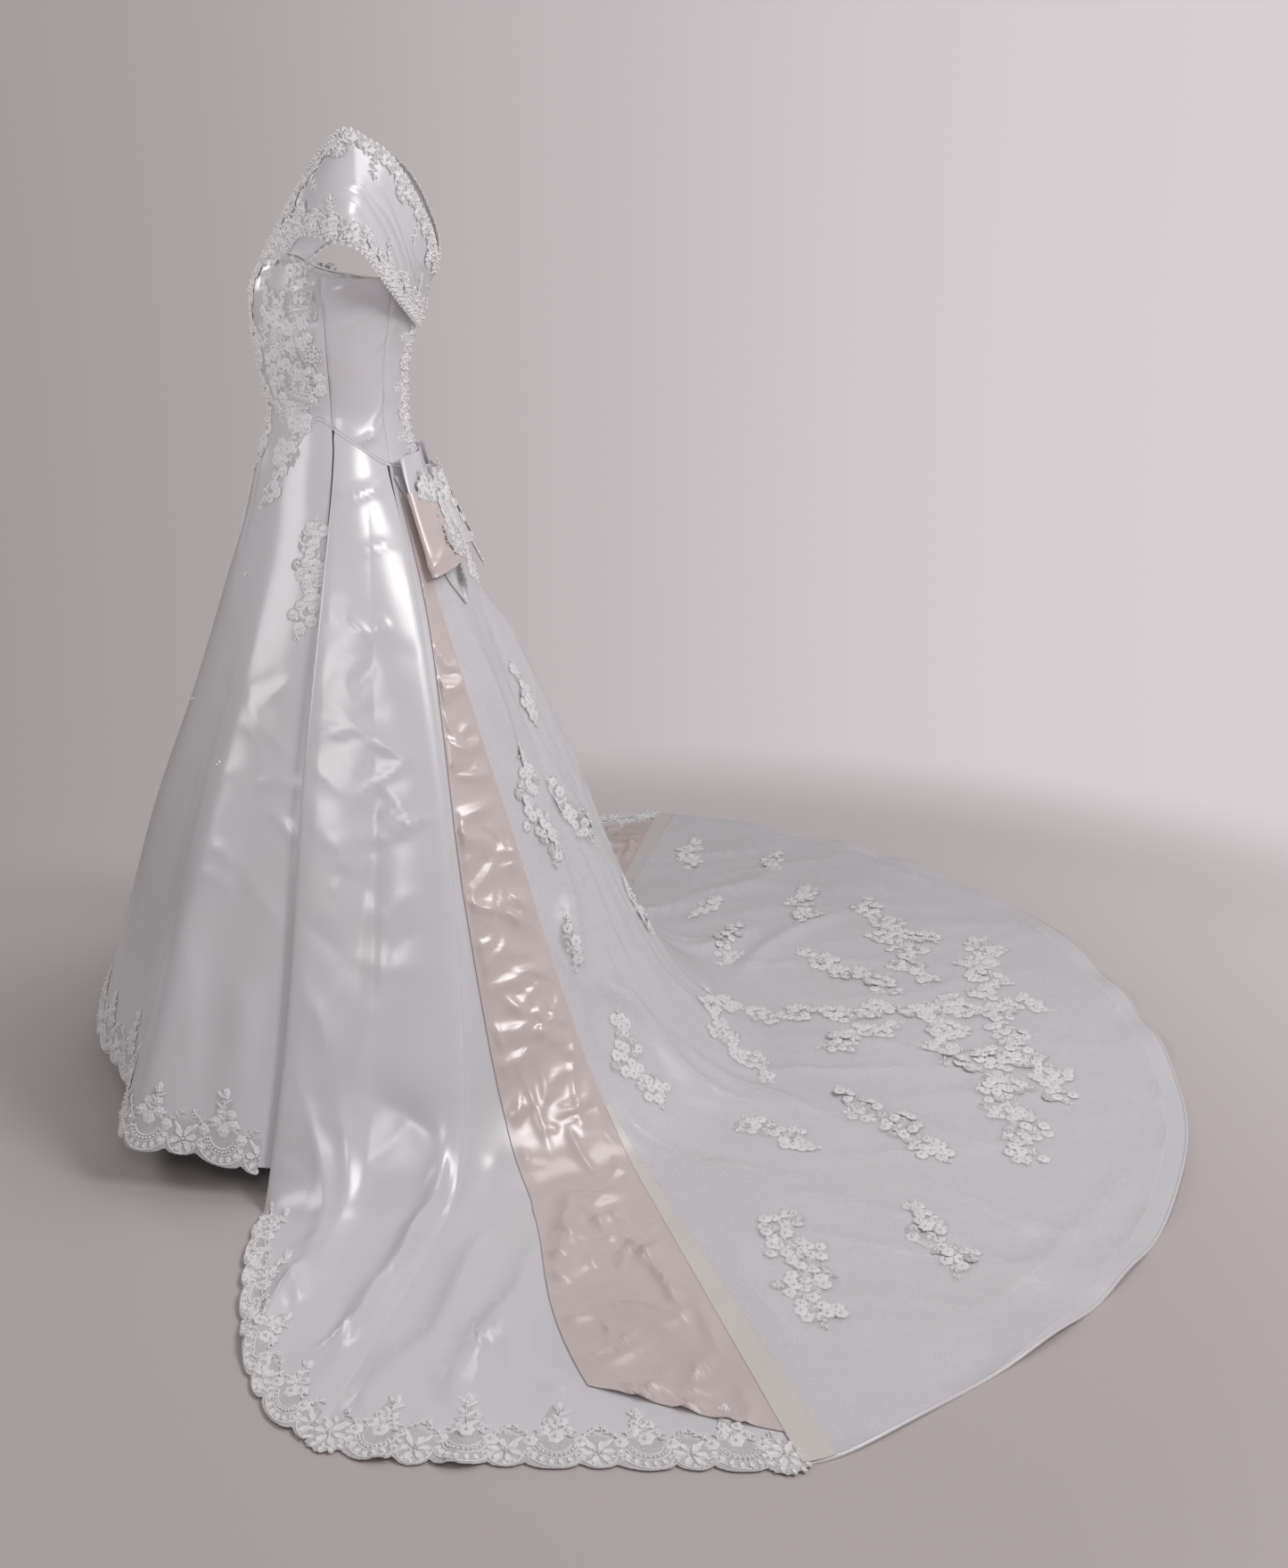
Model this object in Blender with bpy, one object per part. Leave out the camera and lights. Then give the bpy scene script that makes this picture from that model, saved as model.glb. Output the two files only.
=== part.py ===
"""A worn wedding dress in satin, lace and tulle with a cathedral train.

Metres, +Z up. The origin is the middle of the waist, the front faces -Y, the wearer's left is +X
and the floor lies WAIST_HEIGHT below the waist. Angles are degrees round the body, 0 at the
centre front, 90 at the wearer's left side and 180 at the centre back.
"""

import math

import bpy
import numpy as np

# Driving sizes
WAIST_HEIGHT = 1.06
FLOOR = -WAIST_HEIGHT
SATIN = 0.0020  # satin with its stiff lining
LAYER = 0.0012  # one further layer lying on the satin
GAP = 0.0003  # space between two pieces that touch
LACE_OVERHANG = 0.012  # scallops past a hem or an edge

# Horizontal sections of the garment, each an oval with its own front and back depth
SECTIONS = np.array(
    [
        # height, half width, front depth, back depth
        (0.40, 0.150, 0.060, 0.130),
        (0.30, 0.165, 0.060, 0.156),
        (0.22, 0.166, 0.090, 0.151),
        (0.17, 0.160, 0.114, 0.136),
        (0.12, 0.152, 0.117, 0.118),
        (0.08, 0.144, 0.113, 0.106),
        (0.04, 0.133, 0.108, 0.102),
        (0.00, 0.127, 0.104, 0.100),
        (-0.04, 0.136, 0.112, 0.104),
        (-0.09, 0.152, 0.130, 0.116),
        (-0.15, 0.176, 0.146, 0.140),
        (-0.25, 0.215, 0.183, 0.188),
        (-0.42, 0.275, 0.246, 0.272),
        (-0.62, 0.350, 0.328, 0.356),
        (-0.85, 0.440, 0.405, 0.458),
        (-1.00, 0.510, 0.458, 0.553),
        (-1.06, 0.545, 0.480, 0.610),
    ]
)

# Waist seam and bodice top: height at each angle from the centre front
WAIST_SEAM = np.array(
    [
        # angle, height
        (0, -0.250),
        (15, -0.232),
        (45, -0.155),
        (60, -0.095),
        (72, -0.035),
        (84, -0.006),
        (96, -0.026),
        (110, -0.050),
        (126, -0.074),
        (150, -0.085),
        (180, -0.088),
    ]
)
BODICE_TOP = np.array(
    [
        # angle, height
        (0, 0.165),
        (15, 0.186),
        (30, 0.213),
        (45, 0.226),
        (60, 0.223),
        (75, 0.206),
        (90, 0.195),
        (110, 0.188),
        (150, 0.194),
        (180, 0.207),
    ]
)

# Seams of the skirt: the angle of each seam at these heights, the last one at the floor
SEAM_HEIGHTS = np.array([-0.05, -0.25, -0.45, -0.65, -0.85, -1.00, -1.06])
SIDE_FRONT_SEAM = np.array([92.0, 86.0, 82.5, 81.3, 80.5, 79.5, 79.2])
SIDE_BACK_SEAM = np.array([129.0, 124.0, 120.0, 116.3, 113.0, 110.0, 109.0])
BLUSH_FRONT_EDGE = np.array([132.0, 128.0, 122.5, 119.0, 117.8, 117.2, 117.0])
TRAIN_SEAM = np.array([138.0, 134.5, 134.8, 136.0, 136.0, 135.3, 134.8])
CENTRE_BACK = np.full(len(SEAM_HEIGHTS), 180.0)

# Hem of the side and train on the floor, from the side front seam round to the centre back
HEM_POINTS = np.array(
    [
        # x, y
        (0.562, -0.107),
        (0.680, -0.104),
        (0.791, -0.088),
        (0.900, -0.060),
        (0.973, -0.018),
        (1.022, 0.045),
        (1.050, 0.130),
        (1.064, 0.278),
        (1.076, 0.400),
        (1.086, 0.520),
        (1.082, 0.610),
        (1.009, 0.745),
        (0.877, 0.948),
        (0.719, 1.112),
        (0.573, 1.210),
        (0.404, 1.289),
        (0.206, 1.338),
        (0.000, 1.352),
    ]
)
SIDE_BACK_HEM = (1.012, 0.028)  # where the seams end on the hem
BLUSH_FRONT_HEM = (1.070, 0.345)
TRAIN_HEM = (1.086, 0.575)

# Front hem, which clears the floor: its soft fold near 56 degrees shows in the radius
FRONT_HEM = np.array(
    [
        # angle, radius, height
        (0, 0.458, -0.985),
        (18, 0.447, -0.985),
        (31, 0.441, -0.985),
        (38, 0.447, -0.985),
        (45, 0.474, -0.985),
        (51, 0.522, -0.985),
        (57, 0.556, -0.986),
        (62, 0.545, -0.988),
        (67, 0.532, -0.992),
        (72, 0.530, -1.000),
        (76, 0.527, -1.010),
        (80, 0.516, -1.018),
    ]
)

# Rows down a train column: shares of the slope, steps of the bend and shares of the floor
SLOPE_END = -0.95
SLOPE_ROWS = (0.0, 0.07, 0.16, 0.28, 0.41, 0.55, 0.70, 0.85, 1.0)
BEND_STEPS = (0.3, 0.55, 0.8)
BEND_REACH = 0.09
GATHER_DEPTH = 0.007  # soft gathers of the train's slope
GATHER_TOP = -0.12
GATHER_ANGLES = (140.0, 152.0)  # where they begin, and where they reach full depth
GATHERS_PER_TURN = 9
FLOOR_ROWS = (0.0, 0.16, 0.34, 0.52, 0.70, 0.87, 1.0)

# Columns of the bodice, from its centre front to its centre back
WAIST_ANGLES = np.array(
    [0, 9, 18, 28, 38, 49, 60, 72, 84, 92, 102, 112, 122, 132, 144, 156, 168, 180.0]
)
WAIST_HEIGHTS = np.interp(WAIST_ANGLES, WAIST_SEAM[:, 0], WAIST_SEAM[:, 1])
SEAM_GAP = 0.0008  # bodice to skirt
TRIM = 0.003  # share of a column taken off a panel's edge for its seam
BODICE_ROWS = np.linspace(0, 1, 9)
FIRST_FLOOR_ROW = len(SLOPE_ROWS) + len(BEND_STEPS)

# Columns of the skirt panels
FRONT_ANGLES = np.array([0, 9, 18, 28, 38, 44, 49, 55, 60, 66, 72, 78, 84, 92.0])
FRONT_ROWS = np.linspace(0, 1, 10)
FOLD_START = -0.22  # where the front panel's folds start to open
FOLD_GROWTH = 1.2
SIDE_COLUMNS = 10
SIDE_BACK_COLUMNS = 7
TRAIN_COLUMNS = 12

# Full side panels: how far they stand off the skirt, by row and by share of the width
FULLNESS = 0.018
FULLNESS_DOWN = ((0, 8, 11, 18), (1.0, 1.0, 0.35, 0.3))
FULLNESS_ACROSS = ((0, 0.1, 0.5, 0.9, 1), (1.0, 1.0, 0.55, 1.0, 1.0))
FOLD_ROOT = 0.005
FOLD_OUT = 0.7  # shares of the fullness by which a folded edge stands out
FOLD_OVER = 0.45  # and over its neighbour
FULL_ROW = 5

# Blush panels, tulle and its binding, counted in rows of the train
BLUSH_COLUMNS = 6
BLUSH_LIFT = SATIN + 0.0009  # clear of the facets below it
BLUSH_SHORT = (0.115, 0.036)  # up from the white hem at its front and back corners
TULLE_SHORT = 0.35
TULLE_CORNER = (2, 5)  # columns from its edge over which it grows short
BINDING_START = 9.0
BINDING_WIDTH = ((9.0, 18.0), (0.008, 0.040))

# Lace bands
LACE_LIFT = SATIN + 0.0008
SCALLOP = 0.058  # pitch of the scallops
SCALLOP_LEAST = 0.3  # overhang left between two scallops, as a share
DEEPEST_BAND = 0.96  # of a row
HEM_LACE = 0.048
BACK_LACE = ((0, 0.5, 1), (0.048, 0.048, 0.026))  # its depth narrows under the blush hem
SLEEVE_LACE = 0.018
NECKLINE_COLUMNS = 5

# Raised lace motifs, placed by their panel's rows and columns
MOTIF_THICK = 0.0016
BODICE_MOTIF_CLEAR = 0.0020  # over the bust's coarser facets
SKIRT_MOTIF_CLEAR = 0.0012
MOTIF_COLUMNS = 6
MOTIF_LOBE = 0.22
BODICE_MOTIF = (
    # rows down the bodice, first column, last column
    (1.0, 1.5, 2.0, 2.5, 3.0, 3.5, 4.0, 4.5),
    (21.3, 20.9, 21.0, 20.8, 20.9, 20.7, 21.0, 21.4),
    (22.4, 22.9, 23.3, 23.6, 23.7, 23.6, 23.2, 22.6),
)
SKIRT_MOTIF = (
    # rows down the front panel, first column, last column
    (0.5, 1.0, 1.5, 2.0, 2.5, 3.0),
    (20.6, 20.2, 20.6, 20.9, 21.2, 21.6),
    (21.6, 22.3, 22.7, 23.1, 23.4, 23.4),
)
TRAIN_MOTIF_CENTRE = (0.0, 1.0)
TRAIN_MOTIF = (
    # turn from the wearer's left, reach
    (-90, 0.290),
    (-82, 0.150),
    (-68, 0.120),
    (-59, 0.235),
    (-47, 0.215),
    (-38, 0.110),
    (-22, 0.170),
    (-12, 0.200),
    (-4, 0.330),
    (2, 0.470),
    (9, 0.420),
    (13, 0.250),
    (20, 0.330),
    (27, 0.310),
    (38, 0.170),
    (52, 0.190),
    (66, 0.150),
    (78, 0.185),
    (90, 0.175),
)

# Left cap sleeve: its neckline and hem edges from front to back
SLEEVE_NECK = np.array(
    [
        # x, y, z
        (0.100, -0.080, 0.217),
        (0.135, -0.047, 0.264),
        (0.155, -0.018, 0.304),
        (0.165, 0.014, 0.348),
        (0.165, 0.049, 0.379),
        (0.155, 0.077, 0.368),
        (0.142, 0.102, 0.352),
        (0.122, 0.124, 0.322),
        (0.098, 0.141, 0.287),
        (0.062, 0.154, 0.250),
        (0.012, 0.157, 0.214),
    ]
)
SLEEVE_HEM = np.array(
    [
        # x, y, z
        (0.136, -0.052, 0.216),
        (0.175, -0.030, 0.240),
        (0.215, -0.005, 0.252),
        (0.238, 0.025, 0.245),
        (0.243, 0.055, 0.238),
        (0.232, 0.072, 0.226),
        (0.200, 0.087, 0.202),
        (0.155, 0.103, 0.174),
        (0.105, 0.115, 0.152),
        (0.060, 0.122, 0.138),
        (0.012, 0.126, 0.126),
    ]
)
SLEEVE_COLUMNS = 17
SLEEVE_ROWS = 6
SLEEVE_PUFF = 0.030
PUFF_DIRECTION = np.array([0.84, 0.10, 0.53])
PUFF_SHAPE = 0.7
SLEEVE_CLEAR = 0.0012
SLEEVE_CLEAR_BELOW = 0.235  # height under which the sleeve lies outside the bodice

# Buttons down the centre back
BUTTON_COUNT = 20
BUTTON_TOP = 0.200
BUTTON_BOTTOM = -0.074
BUTTON_RADIUS = 0.0052
BUTTON_RISE = 0.0050
BUTTON_SEAT = 0.0008
BUTTON_RINGS = ((1.0, 0.0), (1.0, 0.45), (0.6, 0.9))  # share of radius, share of rise

# Bow at the back waist: angles are counted from the centre back
BOW_TOP = -0.100
BOW_BOTTOM = -0.235
BOW_LOOP_ANGLES = (9.0, 48.0)
BOW_KNOT_ANGLE = 8.9
BOW_CLEAR = 0.0074
BOW_PUFF = 0.026
BOW_WALL = 0.0015
BOW_SIDES = 16
BOW_DISTANCE = 0.15  # of its loops from the body's axis
BOW_FULLNESS = (0.55, 1.0, 0.7)  # share of the puff at its first, middle and last angles
BOW_ROUNDNESS = 0.6
KNOT_ENDS = (-0.088, -0.205)
BOW_TAIL_CLEAR = 0.0047
BOW_TAIL = (
    # height, first angle, last angle
    (-0.092, 20.0, 50.0),
    (-0.140, 18.0, 44.0),
    (-0.190, 18.0, 38.0),
    (-0.240, 20.0, 36.0),
    (-0.285, 27.0, 29.0),
)

MATERIALS = {
    # name: (base colour, roughness)
    "white_satin": ((0.86, 0.85, 0.87), 0.32),
    "blush_satin": ((0.80, 0.66, 0.62), 0.30),
    "cream_satin": ((0.84, 0.81, 0.75), 0.36),
    "tulle": ((0.80, 0.80, 0.79), 0.60),
    "beaded_lace": ((0.84, 0.82, 0.82), 0.55),
    "satin_button": ((0.88, 0.87, 0.88), 0.35),
}


def material(name):
    """The material of this name, made on first use."""
    found = bpy.data.materials.get(name)
    if found:
        return found
    colour, roughness = MATERIALS[name]
    made = bpy.data.materials.new(name)
    made.use_nodes = True
    shader = made.node_tree.nodes["Principled BSDF"]
    shader.inputs["Base Color"].default_value = (*colour, 1.0)
    shader.inputs["Roughness"].default_value = roughness
    shader.inputs["Metallic"].default_value = 0.0
    return made


def column(table, at, index=1):
    """A table's column read at the given key, straight between its rows."""
    return np.interp(at, table[:, 0], table[:, index])


def oval_radius(angle, height):
    """Distance from the body's axis to the garment: an oval with separate front and back depths."""
    width, front, back = (
        np.interp(-height, -SECTIONS[:, 0], SECTIONS[:, k]) for k in (1, 2, 3)
    )
    turn = np.radians(angle)
    depth = np.where(np.cos(turn) > 0, front, back)
    return 1 / np.sqrt((np.sin(turn) / width) ** 2 + (np.cos(turn) / depth) ** 2)


def polar(angle, radius, height):
    """Points at an angle from the centre front, a radius and a height."""
    turn = np.radians(angle)
    angle, radius, height = np.broadcast_arrays(turn, radius, height)
    return np.stack([radius * np.sin(angle), -radius * np.cos(angle), height], -1)


def normals(grid):
    """Unit normals of a grid of points, rows down the cloth and columns to the wearer's left."""
    down = np.gradient(grid, axis=0)
    across = np.gradient(grid, axis=1)
    normal = np.cross(down, across)
    return normal / np.maximum(np.linalg.norm(normal, axis=2, keepdims=True), 1e-12)


def oval_normals(points):
    """Level normals of the garment's ovals, the same for both pieces that meet at the waist."""
    height = points[:, 2]
    width, front, back = (
        np.interp(-height, -SECTIONS[:, 0], SECTIONS[:, k]) for k in (1, 2, 3)
    )
    depth = np.where(points[:, 1] < 0, front, back)
    normal = np.stack([points[:, 0] / width**2, points[:, 1] / depth**2, 0 * height], -1)
    return normal / np.linalg.norm(normal, axis=1, keepdims=True)


def sample(grid, row, col):
    """A grid read between its rows and columns on its own triangles, as wall() splits them."""
    row, col = np.broadcast_arrays(np.asarray(row, float), np.asarray(col, float))
    i = np.clip(row.astype(int), 0, grid.shape[0] - 2)
    j = np.clip(col.astype(int), 0, grid.shape[1] - 2)
    s, t = (row - i)[..., None], (col - j)[..., None]
    corner, far = grid[i, j], grid[i + 1, j + 1]
    below = corner + s * (grid[i + 1, j] - corner) + t * (far - grid[i + 1, j])
    beside = corner + t * (grid[i, j + 1] - corner) + s * (far - grid[i, j + 1])
    return np.where(s >= t, below, beside)


def add_object(name, points, faces, material_name, smooth=True):
    """One named object from points and faces, shaded smooth but for its sharp edges."""
    mesh = bpy.data.meshes.new(name)
    mesh.from_pydata([tuple(map(float, p)) for p in points], [], faces)
    mesh.materials.append(material(material_name))
    if smooth:
        mesh.shade_smooth()
        mesh.set_sharp_from_angle(angle=math.radians(50))
    made = bpy.data.objects.new(name, mesh)
    bpy.context.scene.collection.objects.link(made)
    return made


def wall(name, outer, inner, material_name, mirrored=False):
    """A closed wall between two grids of the same shape, with its four edges.

    Each cell is split from its first corner to the opposite one, or the other way if mirrored.
    """
    rows, columns = outer.shape[:2]
    points = np.concatenate([outer.reshape(-1, 3), inner.reshape(-1, 3)])
    back = rows * columns
    faces = []
    for i in range(rows - 1):
        for j in range(columns - 1):
            a = i * columns + j
            b, c, d = a + 1, a + columns + 1, a + columns
            split = [(a, d, b), (d, c, b)] if mirrored else [(a, d, c), (a, c, b)]
            faces += split
            faces += [(p + back, r + back, q + back) for p, q, r in split]
    rim = [j for j in range(columns)]
    rim += [i * columns + columns - 1 for i in range(1, rows)]
    rim += [(rows - 1) * columns + j for j in range(columns - 2, -1, -1)]
    rim += [i * columns for i in range(rows - 2, 0, -1)]
    for k, a in enumerate(rim):
        b = rim[(k + 1) % len(rim)]
        faces.append((a, b, b + back, a + back))
    return add_object(name, points, faces, material_name)


def mirror(grid):
    """The same grid on the wearer's other side, with its columns still running to the left."""
    return (grid * np.array([-1, 1, 1]))[:, ::-1]


def layer(name, grid, normal, low, high, material_name, mirrored=False):
    """A wall from one distance off a grid's surface to another."""
    return wall(name, grid + high * normal, grid + low * normal, material_name, mirrored)


def both_sides(stem, grid, normal, low, high, material_name):
    """A layer on the wearer's left and the same on the right."""
    layer(stem + "_left", grid, normal, low, high, material_name)
    layer(stem + "_right", mirror(grid), mirror(normal), low, high, material_name, True)


def smooth_path(points, count):
    """Catmull-Rom curve through points, read at even distances along it."""
    ends = [2 * points[0] - points[1], *points, 2 * points[-1] - points[-2]]
    steps = np.linspace(0, 1, 12, endpoint=False)[:, None]
    runs = []
    for p0, p1, p2, p3 in zip(ends, ends[1:], ends[2:], ends[3:]):
        runs.append(
            p1
            + 0.5 * steps * (p2 - p0)
            + steps**2 * (p0 - 2.5 * p1 + 2 * p2 - 0.5 * p3)
            + steps**3 * (1.5 * (p1 - p2) + 0.5 * (p3 - p0))
        )
    fine = np.concatenate(runs + [points[-1:]])
    length = np.concatenate([[0], np.cumsum(np.linalg.norm(np.diff(fine, axis=0), axis=1))])
    at = np.linspace(0, length[-1], count)
    return np.stack([np.interp(at, length, fine[:, k]) for k in range(points.shape[1])], -1)


HEM = smooth_path(HEM_POINTS, 401)


def hem_share(point):
    """Share of the hem's length at the hem point nearest to this one."""
    return float(np.argmin(np.hypot(*(HEM - point).T))) / (len(HEM) - 1)


def hem_point(share):
    """Hem points at these shares of its length."""
    at = np.linspace(0, 1, len(HEM))
    return np.stack([np.interp(share, at, HEM[:, k]) for k in range(2)], -1)


def slope_folds(angle, height):
    """Soft gathers of the train down its slope, deepest half-way and none at waist or floor."""
    way_down = np.clip((height - GATHER_TOP) / (SLOPE_END - GATHER_TOP), 0, 1)
    share = np.interp(angle, GATHER_ANGLES, (0, 1))
    wave = np.cos(np.radians((180 - angle) * GATHERS_PER_TURN))
    return GATHER_DEPTH * np.sin(np.pi * way_down) * share * wave


def seam_angle(seam, height):
    """Angle of a skirt seam at a height."""
    return np.interp(-height, -SEAM_HEIGHTS, seam)


def waist_line(angle):
    """Points of the waist seam, straight between its own corners at WAIST_ANGLES."""
    corner = polar(WAIST_ANGLES, oval_radius(WAIST_ANGLES, WAIST_HEIGHTS), WAIST_HEIGHTS)
    return np.stack([np.interp(angle, WAIST_ANGLES, corner[:, k]) for k in range(3)], -1)


def waist_angle(share, seam_a, seam_b):
    """Angle at which each column of a gore meets the waist seam."""
    angle = seam_a[0] + (seam_b[0] - seam_a[0]) * share
    for _ in range(6):
        height = waist_line(angle)[..., 2]
        start = seam_angle(seam_a, height)
        angle = start + (seam_angle(seam_b, height) - start) * share
    return angle


def down(distance):
    """A short step straight down."""
    return np.array([0.0, 0.0, -distance])


def gore(seam_a, seam_b, hem_a, hem_b, share):
    """Inner surface of a skirt gore and its normals, from the waist down the slope to the hem.

    seam_a and seam_b are its seams, hem_a and hem_b their shares of the hem, and share the
    part of the gore's width at each column.
    """
    share = np.asarray(share, float)
    top = waist_line(waist_angle(share, seam_a, seam_b)) + down(SEAM_GAP / 2)
    rows = [top]
    for part in SLOPE_ROWS[1:]:
        height = top[:, 2] + (SLOPE_END - top[:, 2]) * part
        start = seam_angle(seam_a, height)
        angle = start + (seam_angle(seam_b, height) - start) * share
        radius = oval_radius(angle, height) + slope_folds(angle, height)
        rows.append(polar(angle, radius, height))
    foot_angle = seam_a[-1] + (seam_b[-1] - seam_a[-1]) * share
    foot = polar(foot_angle, oval_radius(foot_angle, FLOOR), FLOOR)
    hem = hem_point(hem_a + (hem_b - hem_a) * share)
    hem = np.concatenate([hem, np.full((len(share), 1), FLOOR)], 1)
    run = hem - foot
    length = np.linalg.norm(run, axis=1, keepdims=True)
    landing = foot + run / length * np.minimum(BEND_REACH, 0.5 * length)
    start = rows[-1]
    for step in BEND_STEPS:
        rows.append((1 - step) ** 2 * start + 2 * step * (1 - step) * foot + step**2 * landing)
    for part in FLOOR_ROWS:
        rows.append(landing + (hem - landing) * part)
    grid = np.stack(rows)
    normal = normals(grid)
    normal[0] = oval_normals(grid[0])
    normal[FIRST_FLOOR_ROW:] = (0, 0, 1)
    return grid, normal


def join_halves(half):
    """A left half that ends at the centre, and its mirror image after it."""
    return np.concatenate([half, (half * np.array([-1, 1, 1]))[:, -2::-1]], 1)


def whole_train():
    """Inner surface of the train between its two seams, through the centre back."""
    share = np.linspace(TRIM, 1, TRAIN_COLUMNS)
    grid, normal = gore(TRAIN_SEAM, CENTRE_BACK, hem_share(TRAIN_HEM), 1.0, share)
    normal[:, -1, 0] = 0
    normal[:, -1] /= np.linalg.norm(normal[:, -1], axis=1, keepdims=True)
    return join_halves(grid), join_halves(normal)


def bodice():
    """Inner surface of the whole bodice and its normals, from the right of the centre back round."""
    angle = np.concatenate([-WAIST_ANGLES[:0:-1], WAIST_ANGLES])
    side = np.sign(angle)[:, None] * np.array([1, 0, 0]) + np.array([0, 1, 1])
    side[angle == 0, 0] = 1
    seam = waist_line(np.abs(angle)) * side - down(SEAM_GAP / 2)
    top = column(BODICE_TOP, np.abs(angle))
    rows = []
    for part in BODICE_ROWS[:-1]:
        height = top + (seam[:, 2] - top) * part
        rows.append(polar(angle, oval_radius(angle, height), height))
    grid = np.stack(rows + [seam])
    around = np.concatenate([grid[:, -2:-1], grid, grid[:, 1:2]], 1)
    normal = normals(around)[:, 1:-1]
    normal[-1] = oval_normals(grid[-1])
    return grid, normal


def make_bodice():
    """Seven princess-line panels cut from one surface."""
    grid, normal = bodice()
    centre = len(WAIST_ANGLES) - 1
    panels = {
        # name: (first angle, last angle)
        "bodice_front": (-28, 28),
        "bodice_side_front_left": (28, 92),
        "bodice_side_back_left": (92, 132),
        "bodice_back_left": (132, 180),
    }
    rows = np.arange(len(BODICE_ROWS))[:, None]
    for name, (first, last) in panels.items():
        steps = [math.copysign(1, x) * list(WAIST_ANGLES).index(abs(x)) for x in (first, last)]
        col = np.arange(centre + steps[0], centre + steps[1] + 1)
        col[0] += TRIM
        col[-1] -= TRIM
        points, facing = sample(grid, rows, col), sample(normal, rows, col)
        if name.endswith("_left"):
            both_sides(name[: -len("_left")], points, facing, 0, SATIN, "white_satin")
        else:
            layer(name, points, facing, 0, SATIN, "white_satin")


def front_panel():
    """Inner surface of the front skirt panel, which hangs clear of the floor, and its normals."""
    top_angle = FRONT_ANGLES * (1 - TRIM / 5)
    share = top_angle / SIDE_FRONT_SEAM[0]
    top = waist_line(top_angle) + down(SEAM_GAP / 2)
    hem_angle = share * SIDE_FRONT_SEAM[-1]
    hem_radius = column(FRONT_HEM, hem_angle)
    hem_height = column(FRONT_HEM, hem_angle, 2)
    extra = hem_radius - oval_radius(hem_angle, hem_height)
    rows = [top]
    for part in FRONT_ROWS[1:]:
        height = top[:, 2] + (hem_height - top[:, 2]) * part
        grow = np.clip((FOLD_START - height) / (FOLD_START - hem_height), 0, 1) ** FOLD_GROWTH
        angle = seam_angle(SIDE_FRONT_SEAM, height) * share
        rows.append(polar(angle, oval_radius(angle, height) + extra * grow, height))
    half = np.stack(rows)
    grid = np.concatenate([(half * np.array([-1, 1, 1]))[:, :0:-1], half], 1)
    normal = normals(grid)
    normal[0] = oval_normals(grid[0])
    return grid, normal


def side_panel():
    """Inner surface of a full side panel, whose folded edges stand over their neighbours."""
    share = np.linspace(0, 1, SIDE_COLUMNS)
    base, facing = gore(SIDE_FRONT_SEAM, SIDE_BACK_SEAM, 0.0, hem_share(SIDE_BACK_HEM), share)
    tangent = np.gradient(base, axis=1)
    tangent /= np.linalg.norm(tangent, axis=2, keepdims=True)
    base[:, 0] += tangent[:, 0] * FOLD_ROOT
    base[:, -1] -= tangent[:, -1] * FOLD_ROOT
    rows = np.arange(len(base))
    full = np.minimum(1, rows / FULL_ROW) * np.interp(rows, *FULLNESS_DOWN)
    full = (FULLNESS * full)[:, None, None]
    lift = np.interp(share, *FULLNESS_ACROSS)[:, None]
    body = base[:, 1:-1] + facing[:, 1:-1] * full * lift[1:-1]
    front = base[:, :1] + full * (FOLD_OUT * facing[:, :1] - FOLD_OVER * tangent[:, :1])
    back = base[:, -1:] + full * (FOLD_OUT * facing[:, -1:] + FOLD_OVER * tangent[:, -1:])
    grid = np.concatenate([base[:, :1], front, body, back, base[:, -1:]], 1)
    normal = normals(grid)
    normal[0] = oval_normals(grid[0])
    return grid, normal


def make_skirt():
    """The white satin panels: front, full sides, side backs and train."""
    layer("skirt_front", *front_panel(), 0, SATIN, "white_satin")
    both_sides("skirt_side", *side_panel(), 0, SATIN, "white_satin")
    both_sides("skirt_side_back", *side_back_panel(), 0, SATIN, "white_satin")
    layer("train", *whole_train(), 0, SATIN, "white_satin")


def side_back_panel():
    """Inner surface of the panel between a side panel and the train."""
    share = np.linspace(TRIM, 1 - TRIM, SIDE_BACK_COLUMNS)
    hems = hem_share(SIDE_BACK_HEM), hem_share(TRAIN_HEM)
    return gore(SIDE_BACK_SEAM, TRAIN_SEAM, *hems, share)


def make_blush():
    """Blush satin panel over each side back panel, a little shorter than the white hem."""
    grid, normal = side_back_panel()
    last_row, last = len(grid) - 1, grid.shape[1] - 1
    part = np.linspace(0, 1, BLUSH_COLUMNS)
    row_length = np.linalg.norm(grid[-1] - grid[-2], axis=1).mean()
    short = (BLUSH_SHORT[0] + (BLUSH_SHORT[1] - BLUSH_SHORT[0]) * part) / row_length
    rows = np.arange(1.0, last_row - 1)[:, None] * np.ones(BLUSH_COLUMNS)
    rows[-1] = last_row - short
    height = sample(grid, rows, 0)[..., 2]
    edges = [seam_angle(seam, height) for seam in (SIDE_BACK_SEAM, BLUSH_FRONT_EDGE, TRAIN_SEAM)]
    on_slope = (edges[1] - edges[0]) / (edges[2] - edges[0])
    hems = [hem_share(p) for p in (SIDE_BACK_HEM, BLUSH_FRONT_HEM, TRAIN_HEM)]
    at_hem = (hems[1] - hems[0]) / (hems[2] - hems[0])
    out = np.clip((rows - FIRST_FLOOR_ROW) / (len(FLOOR_ROWS) - 1), 0, 1)
    first = on_slope * (1 - out) + at_hem * out
    share = first + (1 - first) * part
    points, facing = sample(grid, rows, share * last), sample(normal, rows, share * last)
    both_sides("blush_panel", points, facing, BLUSH_LIFT, BLUSH_LIFT + LAYER, "blush_satin")


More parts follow.
